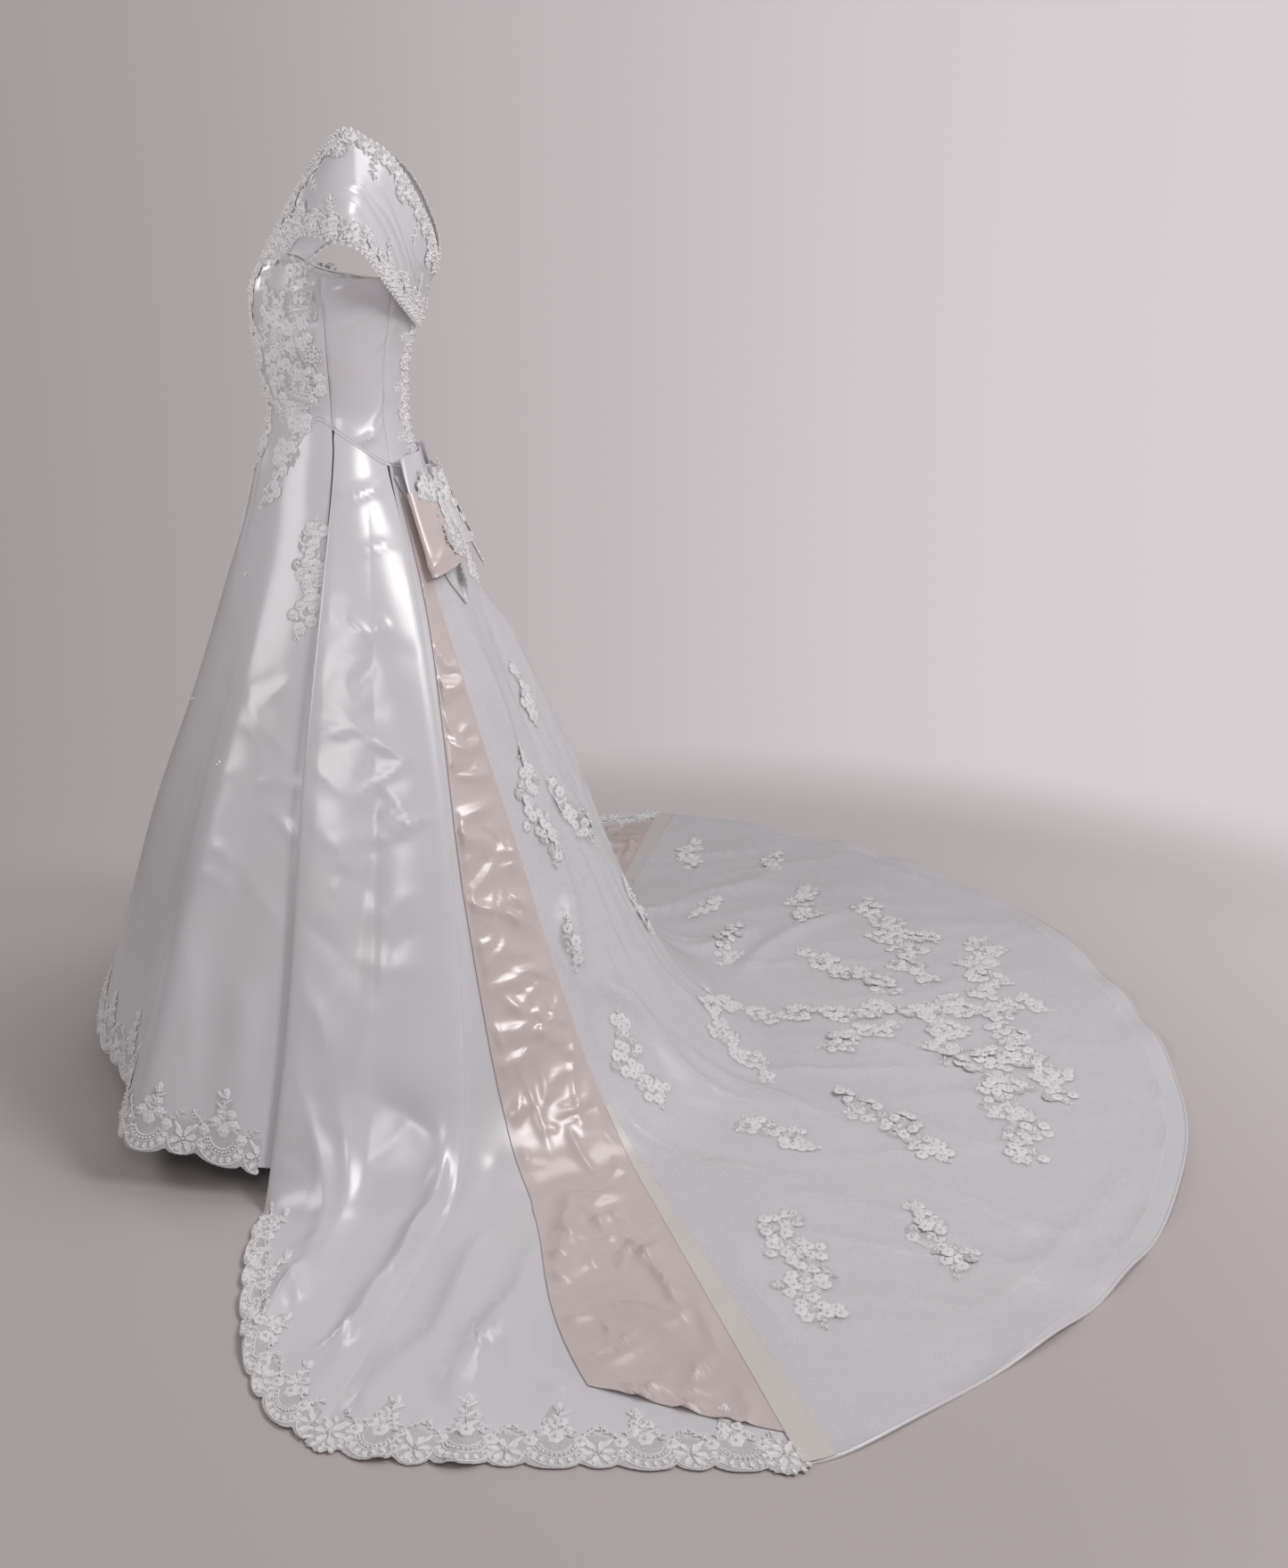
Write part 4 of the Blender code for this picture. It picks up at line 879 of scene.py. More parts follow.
def moved(items, x=0.0, y=0.0, turn=0.0, scale=1.0, flip=False):
    """Items turned, scaled, flipped left to right if asked, and moved to a place."""
    c, s = math.cos(math.radians(turn)), math.sin(math.radians(turn))
    made = []
    for kind, ix, iy, it, length, width, rise in items:
        if flip:
            ix, it = -ix, 180 - it
        place = x + scale * (ix * c - iy * s), y + scale * (ix * s + iy * c)
        size = (length, width, rise) if kind in ("pearl", "crystal") else (length * scale, width * scale, rise)
        made.append((kind, *place, it + turn, *size))
    return made


def ring_of(kind, count, radius, length, width, rise, start=0.0, first=0.0, last=360.0):
    """Items round a centre, each pointing outwards, evenly from one angle to another."""
    full = last - first == 360
    turns = np.linspace(first, last, count, endpoint=not full) + start
    return [
        (kind, radius * math.cos(math.radians(t)), radius * math.sin(math.radians(t)), t, length, width, rise)
        for t in turns
    ]


def cord_path(points, width, rise=RISE):
    """Cord laid in short lengths from point to point."""
    points = np.asarray(points, float)
    step = np.diff(points, axis=0)
    middle = points[:-1] + step / 2
    return [
        ("cord", m[0], m[1], math.degrees(math.atan2(d[1], d[0])), 1.15 * math.hypot(*d), width, rise)
        for m, d in zip(middle, step)
    ]


def arc(x, y, radius, first, last, count):
    """Points along part of a circle."""
    turn = np.radians(np.linspace(first, last, count))
    return np.stack([x + radius * np.cos(turn), y + radius * np.sin(turn)], -1)


def pearls_along(points, radius=PEARL):
    """A pearl at each point."""
    return [("pearl", x, y, 0.0, radius, radius, radius) for x, y in points]


def flower(radius, petals=6, gem="pearl", ring=True):
    """A round flower: corded petals, a ring of pearls and a larger bead in the middle."""
    items = [("ground", 0, 0, 0, radius * 0.98, radius * 0.98, 0.0005)]
    items += ring_of("petal", petals, radius * 0.62, radius * 0.40, radius * 0.31, RISE)
    items += pearls_along(arc(0, 0, radius * 0.30, 0, 288, 5), PEARL * 0.8) if ring else []
    items += [(gem, 0, 0, 0, PEARL * 1.35, PEARL * 1.35, PEARL * 1.35)]
    items += pearls_along(arc(0, 0, radius * 0.98, 30, 330, petals)[::2], PEARL * 0.85)
    return items


def sprig(length, leaves=5, bow=0.25):
    """A bowed stem with leaves to both sides, a pearl beside each and one at its tip."""
    t = np.linspace(0, 1, leaves + 1)
    x = bow * length * np.sin(t * math.pi * 0.5) ** 2
    stem = np.stack([x, length * t], -1)
    items = cord_path(stem, 0.0009)
    for k in range(1, leaves + 1):
        sign = 1 if k % 2 else -1
        size = length * (0.20 - 0.02 * k / leaves)
        lean = 90 - sign * 55
        items.append(("leaf", stem[k, 0] + sign * size * 0.7, stem[k, 1] - size * 0.1, lean, size, size * 0.42, RISE))
        items += pearls_along([(stem[k, 0] - sign * 0.003, stem[k, 1] - 0.002)], PEARL * 0.75)
    tip = stem[-1]
    items.append(("leaf", tip[0], tip[1] + length * 0.1, 88, length * 0.14, length * 0.07, RISE))
    return items


def scroll(size):
    """A curled cord followed by a string of pearls, as a C."""
    curve = arc(0, 0, size, -60, 200, 8)
    inner = arc(0, 0, size * 0.60, -40, 190, 5)
    return cord_path(curve, 0.0010) + pearls_along(inner, PEARL * 0.85)


def scattered(draw, length, width, gap):
    """Random places in an uneven leaning strip, none nearer to another than the gap."""
    tries = draw.random((900, 2)) - 0.5
    y = tries[:, 1] * length
    lean = 0.16 * width * np.sin(y * 46 + 6 * draw.random())
    half = width * (0.34 + 0.16 * np.sin(y * 90 + 6 * draw.random())) * (1 - (2 * np.abs(tries[:, 1])) ** 4 * 0.5)
    places = np.stack([lean + tries[:, 0] * 2 * half, y], -1)
    kept = []
    for place in places:
        if all((place[0] - q[0]) ** 2 + (place[1] - q[1]) ** 2 > gap * gap for q in kept):
            kept.append(place)
    return np.array(kept)


def applique(seed, length, width, gem="pearl"):
    """An uneven lace motif: close rosettes, curls, leaves and pearls, with a sprig at either end."""
    draw = np.random.default_rng(seed)
    items = []
    places = scattered(draw, length, width, 0.0126)
    items += [("ground", x, y, 0, 0.0100, 0.0100, 0.0007) for x, y in places]
    for k, (x, y) in enumerate(places):
        size = 0.0080 + 0.0024 * draw.random()
        turn = 360 * draw.random()
        if k % 6 == 4:
            items += [("ground", x, y, turn, size * 1.2, size * 1.2, 0.0009)]
            items += moved(scroll(size * 0.62), x, y, turn)
        elif k % 6 == 5:
            items += ring_of("leaf", 3, size * 0.55, size * 0.62, size * 0.40, RISE, turn, turn, turn + 360)
            items += [("pearl", x, y, 0, PEARL, PEARL, PEARL)]
            items[-4:-1] = moved(items[-4:-1], x, y)
        else:
            items += [("rosette", x, y, turn, size, size, RISE)]
            items += [(gem if k % 9 == 3 else "pearl", x, y, 0, PEARL, PEARL, PEARL * 1.3)]
        a = math.radians(turn)
        items += pearls_along([(x + size * 0.95 * math.cos(a), y + size * 0.95 * math.sin(a))], PEARL * 0.85)
    items += moved(sprig(0.024, 4), 0.16 * width * draw.random(), length * 0.5 - 0.012, 20 * draw.random())
    items += moved(sprig(0.024, 4), 0, -length * 0.5 + 0.012, 180 - 20 * draw.random())
    return items


class Cover:
    """Cloth that lace is laid on: its points and normals, found again by nearness."""

    def __init__(self, grid, facing, high, *more):
        surfaces = [(grid, facing, high), *more]
        self.points = np.concatenate([(g + h * f).reshape(-1, 3) for g, f, h in surfaces])
        self.facing = np.concatenate([f.reshape(-1, 3) for _, f, _ in surfaces])
        self.tree = KDTree(len(self.points))
        for k, point in enumerate(self.points.tolist()):
            self.tree.insert(point, k)
        self.tree.balance()

    def settle(self, points):
        """Points dropped along the nearest normal onto the cloth, and those normals."""
        near = np.array([self.tree.find(p)[1] for p in points.tolist()], int)
        facing = self.facing[near]
        gap = ((points - self.points[near]) * facing).sum(-1, keepdims=True)
        return points - gap * facing, facing


def laid(items, cover, where, right, up):
    """Items as (kinds, places, axes, sizes) on a cover, from a point of it with its right and up."""
    kinds = np.array([i[0] for i in items])
    data = np.array([i[1:] for i in items], float)
    flat = where + data[:, :1] * right + data[:, 1:2] * up
    places, facing = cover.settle(flat)
    turn = np.radians(data[:, 2])[:, None]
    along = np.cos(turn) * right + np.sin(turn) * up
    along = unit(along - (along * facing).sum(-1, keepdims=True) * facing)
    axes = np.stack([along, np.cross(facing, along), facing], 1)
    return kinds, places, axes, data[:, 3:6]


def lace_mesh(name, sets):
    """One mesh of every item in the sets, with a finish for each kind."""
    kinds, places, axes, sizes = (np.concatenate([s[k] for s in sets]) for k in range(4))
    points, faces, finishes, start = [], [], [], 0
    for kind, (shape, shape_faces) in TEMPLATES.items():
        chosen = kinds == kind
        count = int(chosen.sum())
        if not count:
            continue
        scaled = shape[None] * sizes[chosen][:, None]
        put = np.einsum("nij,njk->nik", scaled, axes[chosen]) + places[chosen][:, None]
        points.append(put.reshape(-1, 3))
        index = start + np.arange(count)[:, None, None] * len(shape) + shape_faces[None]
        faces.append(index.reshape(-1, 3))
        finishes.append(np.full(count * len(shape_faces), FINISH_OF[kind], np.int32))
        start += count * len(shape)
    made = mesh_object(name, np.concatenate(points), np.concatenate(faces), lace_thread)
    for other in (pearl, crystal, shaded_lace_net):
        made.data.materials.append(other)
    made.data.polygons.foreach_set("material_index", np.concatenate(finishes))
    return made


def frame_at(cover, point, up_hint):
    """A point dropped onto a cover, with its right and its up, up being nearest to a direction."""
    at, facing = cover.settle(np.array([point], float))
    up = np.array(up_hint, float) - np.dot(up_hint, facing[0]) * facing[0]
    up = up / np.linalg.norm(up)
    return at[0], np.cross(up, facing[0]), up


# The pieces


shapes = {}  # finished cloth surfaces, by name, that lace and other cloth are laid on


def even(curve, first, last, count):
    """Values at even distances along a curve, which is a function of an array of them."""
    at = np.linspace(first, last, 500)
    length = np.cumsum(np.linalg.norm(np.diff(curve(at), axis=0), axis=1))
    length = np.concatenate([[0], length])
    return np.interp(np.linspace(0, length[-1], count), length, at)


def cut(grid, across=None):
    """Works out a piece's widest, its longest and its area on the flat cloth, and keeps none of them."""
    wide, long = (np.linalg.norm(np.diff(grid, axis=k), axis=2) for k in (1, 0))
    size = across or float(wide.sum(1).max()), float(long.sum(0).max())
    corner = np.cross(grid[1:, :-1] - grid[:-1, :-1], grid[:-1, 1:] - grid[:-1, :-1])
    area = float(np.linalg.norm(corner, axis=2).sum())
    area = min(max(area, 0.31 * size[0] * size[1]), size[0] * size[1])


def both_sides(stem, left, right, facing, high, material, slot, held, thick=CLOTH):
    """A piece of cloth on the wearer's left, and its mirror image on the right with its own creases."""
    made = []
    for sides, grid in ((LEFT, left), (RIGHT, right)):
        sign, word = sides
        turned, out = (grid, facing) if sign > 0 else (mirror(grid), mirror(facing))
        name = f"{stem}_{word}"
        piece = finish_piece(cloth("dress_" + name, turned, out, high, material, thick), [name])
        cut(grid)
        shapes[name] = turned, normals(turned)
        made.append(piece)
    return made


def bodice_creases(angle, height):
    """Drag wrinkles round the bust, under the arm and above the waist seam at the back."""
    round_it = np.radians(np.abs(angle)) * 0.12
    tables = np.array(BODICE_CREASES, float)
    side_to_side = folds(round_it, -height, tables)
    small = crumples(31, 60, ((0.02, -0.20), (0.36, 0.05)), (60, 120), (0.012, 0.03), (0.004, 0.007), (0.0003, 0.0008))
    return side_to_side + folds(np.radians(angle) * 0.12 % 0.38, -height, small)


def make_bodice():
    """Seven princess-line panels, dipping a little into the stitched seam at each edge."""
    panels = {
        # name: (first angle, last angle, columns)
        "bodice_front": (-28, 28, 45),
        "bodice_side_front_left": (28, 92, 57),
        "bodice_side_back_left": (92, 132, 37),
        "bodice_back_left": (132, 180, 37),
        "bodice_side_front_right": (-92, -28, 57),
        "bodice_side_back_right": (-132, -92, 37),
        "bodice_back_right": (-180, -132, 37),
    }
    row = np.linspace(0, 1, 71)[:, None]
    for name, (first, last, columns) in panels.items():
        angle = np.linspace(first + 0.15, last - 0.15, columns)[None]
        grid = bodice(row, angle)
        facing = normals(grid)
        near = np.minimum(angle - first, last - angle)
        dip = 0.0016 * np.exp(-((near / 1.1) ** 2)) + 0.0006 * np.exp(-((near / 5) ** 2))
        heights = bodice_creases(angle, grid[..., 2]) * window(angle, (first, last), 5)
        heights = heights * window(row, (0, 1), 0.06) - dip
        grid = raised(grid, facing, heights)
        piece = cloth("dress_" + name, grid, facing, SATIN, white_satin)
        finish_piece(piece, [name])
        cut(grid)
    angle = np.linspace(-180, 180, 181)[None]
    grid = bodice(np.linspace(0, 1, 60)[:, None], angle)
    shapes["bodice"] = grid, normals(grid)


def make_sleeves():
    """Cap sleeves of satin, with long soft folds from the shoulder to the centre back."""
    along = even(lambda a: sleeve(0.5, a), 0, 1, 121)[None]
    grid = sleeve(np.linspace(0, 1, 57)[:, None], along)
    facing = normals(grid)
    across, down = flat_places(grid)
    held = window(np.linspace(0, 1, 57)[:, None], (0, 1), 0.12)
    heights = folds(across, down, SLEEVE_CREASES) * held
    other = folds(across + 0.006, down - 0.004, SLEEVE_CREASES) * held * 0.9
    small = crumples(41, 26, ((-0.22, 0.02), (0.2, 0.15)), (20, 100), (0.015, 0.04), (0.004, 0.007), (0.0004, 0.0012))
    heights, other = heights + folds(across, down, small) * held, other + folds(-across, down, small) * held
    left, right = raised(grid, facing, np.maximum(heights, -0.0004)), raised(grid, facing, np.maximum(other, -0.0004))
    both_sides("sleeve", left, right, facing, SATIN, white_satin, "white_satin", "stretched")


def skirt_grid(surface, rows, across, last=HEM_ROW, first=0.0, at=0.5):
    """A skirt surface at even rows, with its normals; the floor part faces straight up."""
    row = even(lambda r: surface(r[:, None], np.full((1, 2), at) + np.array([[0, 1e-3]]))[:, 0], first, last, rows)
    grid = surface(row[:, None], np.asarray(across, float)[None])
    return grid, normals(grid), row


def make_skirt():
    """The white satin panels: front, full sides, side backs and train, each with its creases."""
    share = np.linspace(-1, 1, 151)
    grid, facing, _ = skirt_grid(front, 121, share, 1.0)
    across, down = flat_places(grid)
    small = crumples(11, 70, ((-0.6, 0.12), (0.6, 0.85)), (-70, 70), (0.02, 0.07), (0.009, 0.020), (0.0005, 0.0016))
    heights = folds(np.abs(across), down + 0.02 * (across < 0), FRONT_CREASES) + folds(across, down, small)
    grid = raised(grid, facing, heights * window(share, (-1, 1), 0.05)[None])
    piece = cloth("dress_skirt_front", grid, facing, SATIN, white_satin)
    finish_piece(piece, ["skirt_front"])
    cut(grid)
    shapes["skirt_front"] = grid, normals(grid)

    edge = np.linspace(0, SIDE_EDGE, 9)
    share = np.concatenate([edge, np.linspace(SIDE_EDGE, 1 - SIDE_EDGE, 51)[1:-1], 1 - edge[::-1]])
    grid, facing, _ = skirt_grid(side, 151, share)
    across, down = flat_places(grid)
    held = window(share, (SIDE_EDGE * 0.6, 1 - SIDE_EDGE * 0.6), 0.06)[None]
    sides = []
    for seed in (12, 13):
        small = crumples(seed, 90, ((-0.2, 0.05), (0.2, 1.3)), (40, 150), (0.02, 0.07), (0.009, 0.020), (0.0005, 0.0018))
        table = np.array(SIDE_CREASES)
        table[:, 1] += 0.02 * (seed - 12)
        sides.append(raised(grid, facing, (folds(across, down, table) + folds(across, down, small)) * held))
    both_sides("skirt_side", *sides, facing, SATIN, white_satin, "white_satin", "hung")

    share = np.linspace(0, 1, 41)
    grid, facing, row = skirt_grid(side_back, 131, share)
    across, down = flat_places(grid)
    small = crumples(16, 60, ((-0.1, 0.9), (0.4, 1.75)), (30, 150), (0.03, 0.09), (0.009, 0.020), (0.0008, 0.0030))
    heights = folds(across, down, SIDE_BACK_CREASES) + folds(across, down, small)
    heights = heights * window(share, (0, 1), 0.05)[None]
    shapes["side_back_heights"] = heights, row
    grid = raised(grid, facing, heights)
    both_sides("skirt_side_back", grid, grid, facing, SATIN, white_satin, "white_satin", "hung")

    share = np.linspace(0, 2, 121)
    grid, facing, row = skirt_grid(train, 121, share, at=0.6)
    across, down = flat_places(grid)
    heights = folds(across, down, TRAIN_FOLDS) + folds(-across, down + 0.03, TRAIN_FOLDS[:20])
    radial = crumples(14, 44, ((-1.2, 1.05), (1.2, 1.75)), (-20, 20), (0.06, 0.16), (0.010, 0.018), (0.0015, 0.006))
    heights = heights + np.abs(folds(across, down, radial))
    heights = heights * window(share, (0, 2), 0.06)[None] * window(row[:, None], (0.5, 30), 3.5)
    from_hem = (down[-1] - down) / 0.05
    waves = 0.5 + 0.5 * np.sin(across[-1] * 21 + 2.2 * np.sin(across[-1] * 7))
    heights = heights * np.clip(from_hem, 0, 1) + 0.010 * waves * np.exp(-(from_hem**2)) * window(share, (0, 2), 0.12)
    shapes["train_heights"] = heights, row
    grid = raised(grid, facing, heights)
    piece = cloth("dress_train", grid, facing, SATIN, white_satin)
    finish_piece(piece, ["train"])
    cut(grid)
    shapes["train"] = grid, facing


def heights_at(name, rows, across, last_across):
    """The creases of a white panel, read where the cloth over it lies."""
    heights, row = shapes[name]
    i = np.interp(rows, row, np.arange(len(row)))
    j = across / last_across * (heights.shape[1] - 1)
    return sample(heights[..., None], i, j)[..., 0]


def make_blush():
    """Blush satin over each side back panel, tapering to the bow and a little short of the hem."""
    part = np.linspace(0, 1, 45)
    row = even(lambda r: side_back(r[:, None], np.array([[0.5, 0.501]]))[:, 0], 0.6, 17.8, 251)
    inside = side_back(row[:, None], np.array([[0.0, 1e-3]]))[:, 0]
    depth = -inside[:, 2]
    edges = [smooth(depth, SEAM_DEPTHS, seam) for seam in (SIDE_BACK_SEAM, BLUSH_FRONT_EDGE, TRAIN_SEAM)]
    on_slope = (edges[1] - edges[0]) / (edges[2] - edges[0])
    hems = [hem_share(p) for p in (SIDE_BACK_HEM, BLUSH_FRONT_HEM, TRAIN_HEM)]
    at_hem = (hems[1] - hems[0]) / (hems[2] - hems[0])
    short = np.interp(part, (0, 1), (1.45, 0.45))
    rows = row[:, None] - short * np.clip((row[:, None] - BEND_LAST) / (row[-1] - BEND_LAST), 0, 1)
    out = np.clip((rows[:, 0] - BEND_LAST) / (rows[-1, 0] - BEND_LAST), 0, 1)
    first = (on_slope * (1 - out) + at_hem * out + 0.11 * np.exp(-(((rows[:, 0] - 12) / 2.2) ** 2)))[:, None]
    across_it = first + (1 - first) * part
    grid = side_back(rows, across_it)
    facing = normals(grid)
    below = heights_at("side_back_heights", rows, across_it, 1.0)
    across, down = flat_places(grid)
    held = window(part, (0, 1), 0.12)[None]
    sides = []
    for seed in (21, 22):
        rolling = crumples(seed, 90, ((-0.1, 0.06), (0.26, 1.7)), (55, 125), (0.018, 0.070), (0.006, 0.012), (0.0015, 0.0050))
        broken = crumples(seed + 5, 120, ((-0.12, 0.1), (0.30, 1.72)), (0, 180), (0.012, 0.034), (0.005, 0.009), (0.001, 0.0036))
        own = folds(across, down, BLUSH_CREASES) + np.abs(folds(across, down, rolling)) + np.abs(folds(across, down, broken))
        sides.append(raised(grid, facing, below + own * held * np.interp(down, (1.05, 1.25), (1, 1.8))))
    both_sides("blush_panel", *sides, facing, SATIN + 0.0021, blush_satin, "blush_satin", "hung")


def make_tulle():
    """Tulle over the train, gathered at the bow, and its cream satin bindings."""
    across_it = np.linspace(0, 2, 141)
    row = even(lambda r: train(r[:, None], np.array([[0.6, 0.601]]))[:, 0], 0.7, 18, 121)
    from_edge = np.minimum(across_it, 2 - across_it) * 11
    short = 0.35 * np.clip((from_edge - 2) / 3, 0, 1)
    rows = row[:, None] - short * np.clip((row[:, None] - 16) / 2, 0, 1)
    grid = train(rows, across_it[None])
    facing = normals(grid)
    across, down = flat_places(grid)
    own = crumples(51, 90, ((-1.2, 0.9), (1.2, 1.7)), (-40, 40), (0.05, 0.20), (0.010, 0.016), (0.001, 0.0045))
    thin = crumples(52, 40, ((-0.35, 0.15), (0.35, 0.9)), (-14, 14), (0.08, 0.26), (0.010, 0.018), (0.001, 0.005))
    own = np.abs(folds(across, down, own)) + np.abs(folds(across, down, thin))
    own = own * window(across_it, (0, 2), 0.05)[None]
    below = heights_at("train_heights", rows, across_it[None], 2.0)
    grid = raised(grid, facing, below + own)
    high = SATIN + 0.0015
    piece = cloth("dress_tulle_overlay", grid, facing, high, tulle_white, 0.0006)
    finish_piece(piece, ["tulle_overlay"])
    cut(grid)
    cover = Cover(grid, normals(grid), high)
    row = even(lambda r: train(r[:, None], np.array([[0.0, 1e-3]]))[:, 0], 9, 18, 91)
    share = np.linspace(0, 1, 9)
    wide = np.interp(row, (9, 18), (0.008, 0.040))
    near = train(row[:, None], np.array([[0.0, 0.02]]))
    step = np.linalg.norm(near[:, 1] - near[:, 0], axis=1) / 0.02
    across_it = (wide / step)[:, None] * share
    grid = train(row[:, None], across_it)
    facing = normals(grid)
    grid = raised(grid, facing, heights_at("train_heights", row[:, None], across_it, 2.0))
    both_sides("tulle_binding", grid, grid, facing, SATIN + 0.0030, cream_satin, "cream_satin", "laid")
    return cover


class Edge:
    """The edge of a cloth surface that a band of lace follows: its line, its inward way and its length."""

    def __init__(self, grid, facing, high, top=False):
        self.cover = Cover(grid, facing, high)
        rows = (0, 3) if top else (-1, -4)
        self.line = grid[rows[0]] + high * facing[rows[0]]
        self.inward = unit(grid[rows[1]] - grid[rows[0]])
        steps = np.linalg.norm(np.diff(self.line, axis=0), axis=1)
        self.along = np.concatenate([[0], np.cumsum(steps)])
        self.length = float(self.along[-1])

    def read(self, table, at):
        """A table of vectors along the edge, read at distances along it."""
        return np.stack([np.interp(at, self.along, table[:, k]) for k in range(3)], -1)

    def laid(self, items):
        """Items whose x is the distance along the edge and whose y is the distance in from it."""
        kinds = np.array([i[0] for i in items])
        data = np.array([i[1:] for i in items], float)
        inside = (data[:, 0] > -0.0005) & (data[:, 0] < self.length + 0.0005)
        kinds, data = kinds[inside], data[inside]
        inward = unit(self.read(self.inward, data[:, 0]))
        ahead = self.read(self.line, np.minimum(data[:, 0] + 0.004, self.length))
        behind = self.read(self.line, np.maximum(data[:, 0] - 0.004, 0))
        places = self.read(self.line, data[:, 0]) + data[:, 1:2] * inward
        places, facing = self.cover.settle(places)
        turn = np.radians(data[:, 2])[:, None]
        along = np.cos(turn) * unit(ahead - behind) + np.sin(turn) * inward
        along = unit(along - (along * facing).sum(-1, keepdims=True) * facing)
        axes = np.stack([along, np.cross(facing, along), facing], 1)
        return kinds, places + 0.0009 * facing, axes, data[:, 3:6]

    def band(self, name, inner, outer, lift, thick=0.0007):
        """The net ground of a band of lace, between its inner and outer distances from the edge."""
        at = np.linspace(0, self.length, 2 * max(12, round(self.length / 0.0060)) + 1)
        share = np.linspace(0, 1, 7)[:, None]
        reach = inner(at) * (1 - share) - outer(at) * share
        flat = self.read(self.line, at)[None] + reach[..., None] * unit(self.read(self.inward, at))[None]
        places, facing = self.cover.settle(flat.reshape(-1, 3))
        places, facing = places.reshape(flat.shape), facing.reshape(flat.shape)
        sign = np.sign((normals(places) * facing).sum())
        if sign < 0:
            places, facing = places[::-1], facing[::-1]
        points, faces = shell_arrays(places + (lift + thick) * facing, places + lift * facing)
        return mesh_object(name, points, faces, shaded_lace_net), places


HEM_PITCH = 0.115
FAN = 0.0575  # of the fan's middle from the flower's, along the hem


def hem_repeat(number):
    """One repeat of the hem lace: a flower scallop, a fan scallop with a crescent of pearls, a leafy spike."""
    tilt = 12 * math.sin(number * 2.4)
    gem = "crystal" if number % 3 == 1 else "pearl"
    items = moved(ring_of("petal", 6, 0.0120, 0.0080, 0.0060, RISE * 1.3), 0, 0.012, tilt)
    items += moved(pearls_along(arc(0, 0, 0.0052, 0, 288, 5), PEARL) + [(gem, 0, 0, 0, PEARL, PEARL, PEARL * 1.8)], 0, 0.012)
    items += cord_path(arc(0, 0.012, 0.0215, 185, 355, 11), 0.0011)
    items += moved(ring_of("petal", 5, 0.0180, 0.0036, 0.0030, RISE, 0, 200, 340), 0, 0.012)
    fan = [("rosette", 0, 0.0060, tilt, 0.0095, 0.0095, RISE), (gem, 0, 0.006, 0, PEARL, PEARL, PEARL * 1.8)]
    fan += cord_path(arc(0, 0, 0.0195, 200, 340, 10), 0.0011)
    fan += pearls_along(arc(0, 0, 0.0238, 204, 336, 11), PEARL)
    fan += cord_path(arc(0, 0, 0.0280, 198, 342, 12), 0.0011)
    fan += ring_of("petal", 8, 0.0342, 0.0050, 0.0044, RISE * 1.1, 0, 206, 334)
    fan += cord_path(arc(0, 0, 0.0405, 205, 335, 12), 0.0011)
    items += moved(fan, FAN, 0.030)
    tall = 0.046 + 0.008 * math.sin(number * 1.7)
    bow = 0.10 * (-1) ** number
    items += moved(sprig(tall, 6, bow), FAN, 0.040, tilt * 0.4)
    tip = tall + 0.040
    items += moved([("leaf", 0, 0, 90, 0.0095, 0.0062, RISE * 1.2)], FAN + bow * tall, tip + 0.002, 0)
    items += pearls_along([(FAN + bow * tall + x, tip + y) for x, y in ((0, 0.001), (-0.002, -0.003), (0.002, -0.003))], PEARL)
    for sign in (-1, 1):
        for x, y, size in ((0.014, 0.046, 0.0080), (0.009, 0.060, 0.0066), (0.0295, 0.030, 0.0085), (0.0275, 0.006, 0.0062)):
            items += [("rosette", FAN + sign * x, y, tilt * sign, size, size, RISE)]
            items += [("pearl", FAN + sign * x, y, 0, PEARL, PEARL, PEARL * 1.6)]
        items += moved(sprig(0.022, 3, 0.25 * sign), FAN + sign * 0.032, 0.036, -35 * sign)
        items += moved(scroll(0.0058), FAN + sign * 0.0200, 0.042, 90 * sign, flip=sign < 0)
        items += moved([("leaf", 0, 0, 90 - 40 * sign, 0.0085, 0.0040, RISE)], sign * 0.013, 0.030)
    return items


def corner_flower(edge, end):
    """A flower with its own net over the place where two bands of hem lace meet."""
    along = unit(edge.line[1] - edge.line[0] if end == 0 else edge.line[-1] - edge.line[-2])
    up = edge.inward[end]
    items = [("ground", 0, 0.010, 15 * k, 0.026, 0.026, 0.0012) for k in range(2)]
    items += moved(flower(0.021, 6), 0, 0.012) + moved(ring_of("petal", 12, 0.0235, 0.005, 0.004, RISE), 0, 0.010)
    kinds, places, axes, sizes = laid(items, edge.cover, edge.line[end], along, up)
    return kinds, places + 0.0014 * axes[:, 2], axes, sizes


def lace_band(name, node, edge, repeat, pitch, inner, outer, lift=0.0006, ends=()):
    """A band of lace along an edge: its net ground, which is a sheet, and the raised work on it."""
    count = max(1, round(edge.length / pitch))
    step = edge.length / count
    ground, places = edge.band(
        "dress_" + name, lambda at: inner(at * pitch / step), lambda at: outer(at * pitch / step), lift
    )
    finish_piece(ground, [node])
    items = []
    for k in range(count + 1):
        items += moved(repeat(k), k * step, 0)
    work = lace_mesh("dress_" + name + "_beading", [edge.laid(items)] + [corner_flower(edge, end) for end in ends])
    finish_piece(work, [])
    cut(places, across=edge.length)


def hem_inner(at):
    """How far up the ground of the hem lace reaches: a lobe over each flower and a tall one at each fan."""
    from_flower = np.abs((at / HEM_PITCH + 0.5) % 1 - 0.5) * HEM_PITCH
    from_fan = FAN - from_flower
    lobe = 0.013 * np.sqrt(np.clip(1 - (from_flower / 0.022) ** 2, 0, 1))
    spike = 0.046 * np.exp(-((from_fan / 0.0115) ** 2)) + 0.012 * np.exp(-((from_fan / 0.026) ** 4))
    return 0.026 + lobe + spike + 0.0012 * np.sin(at * 900)


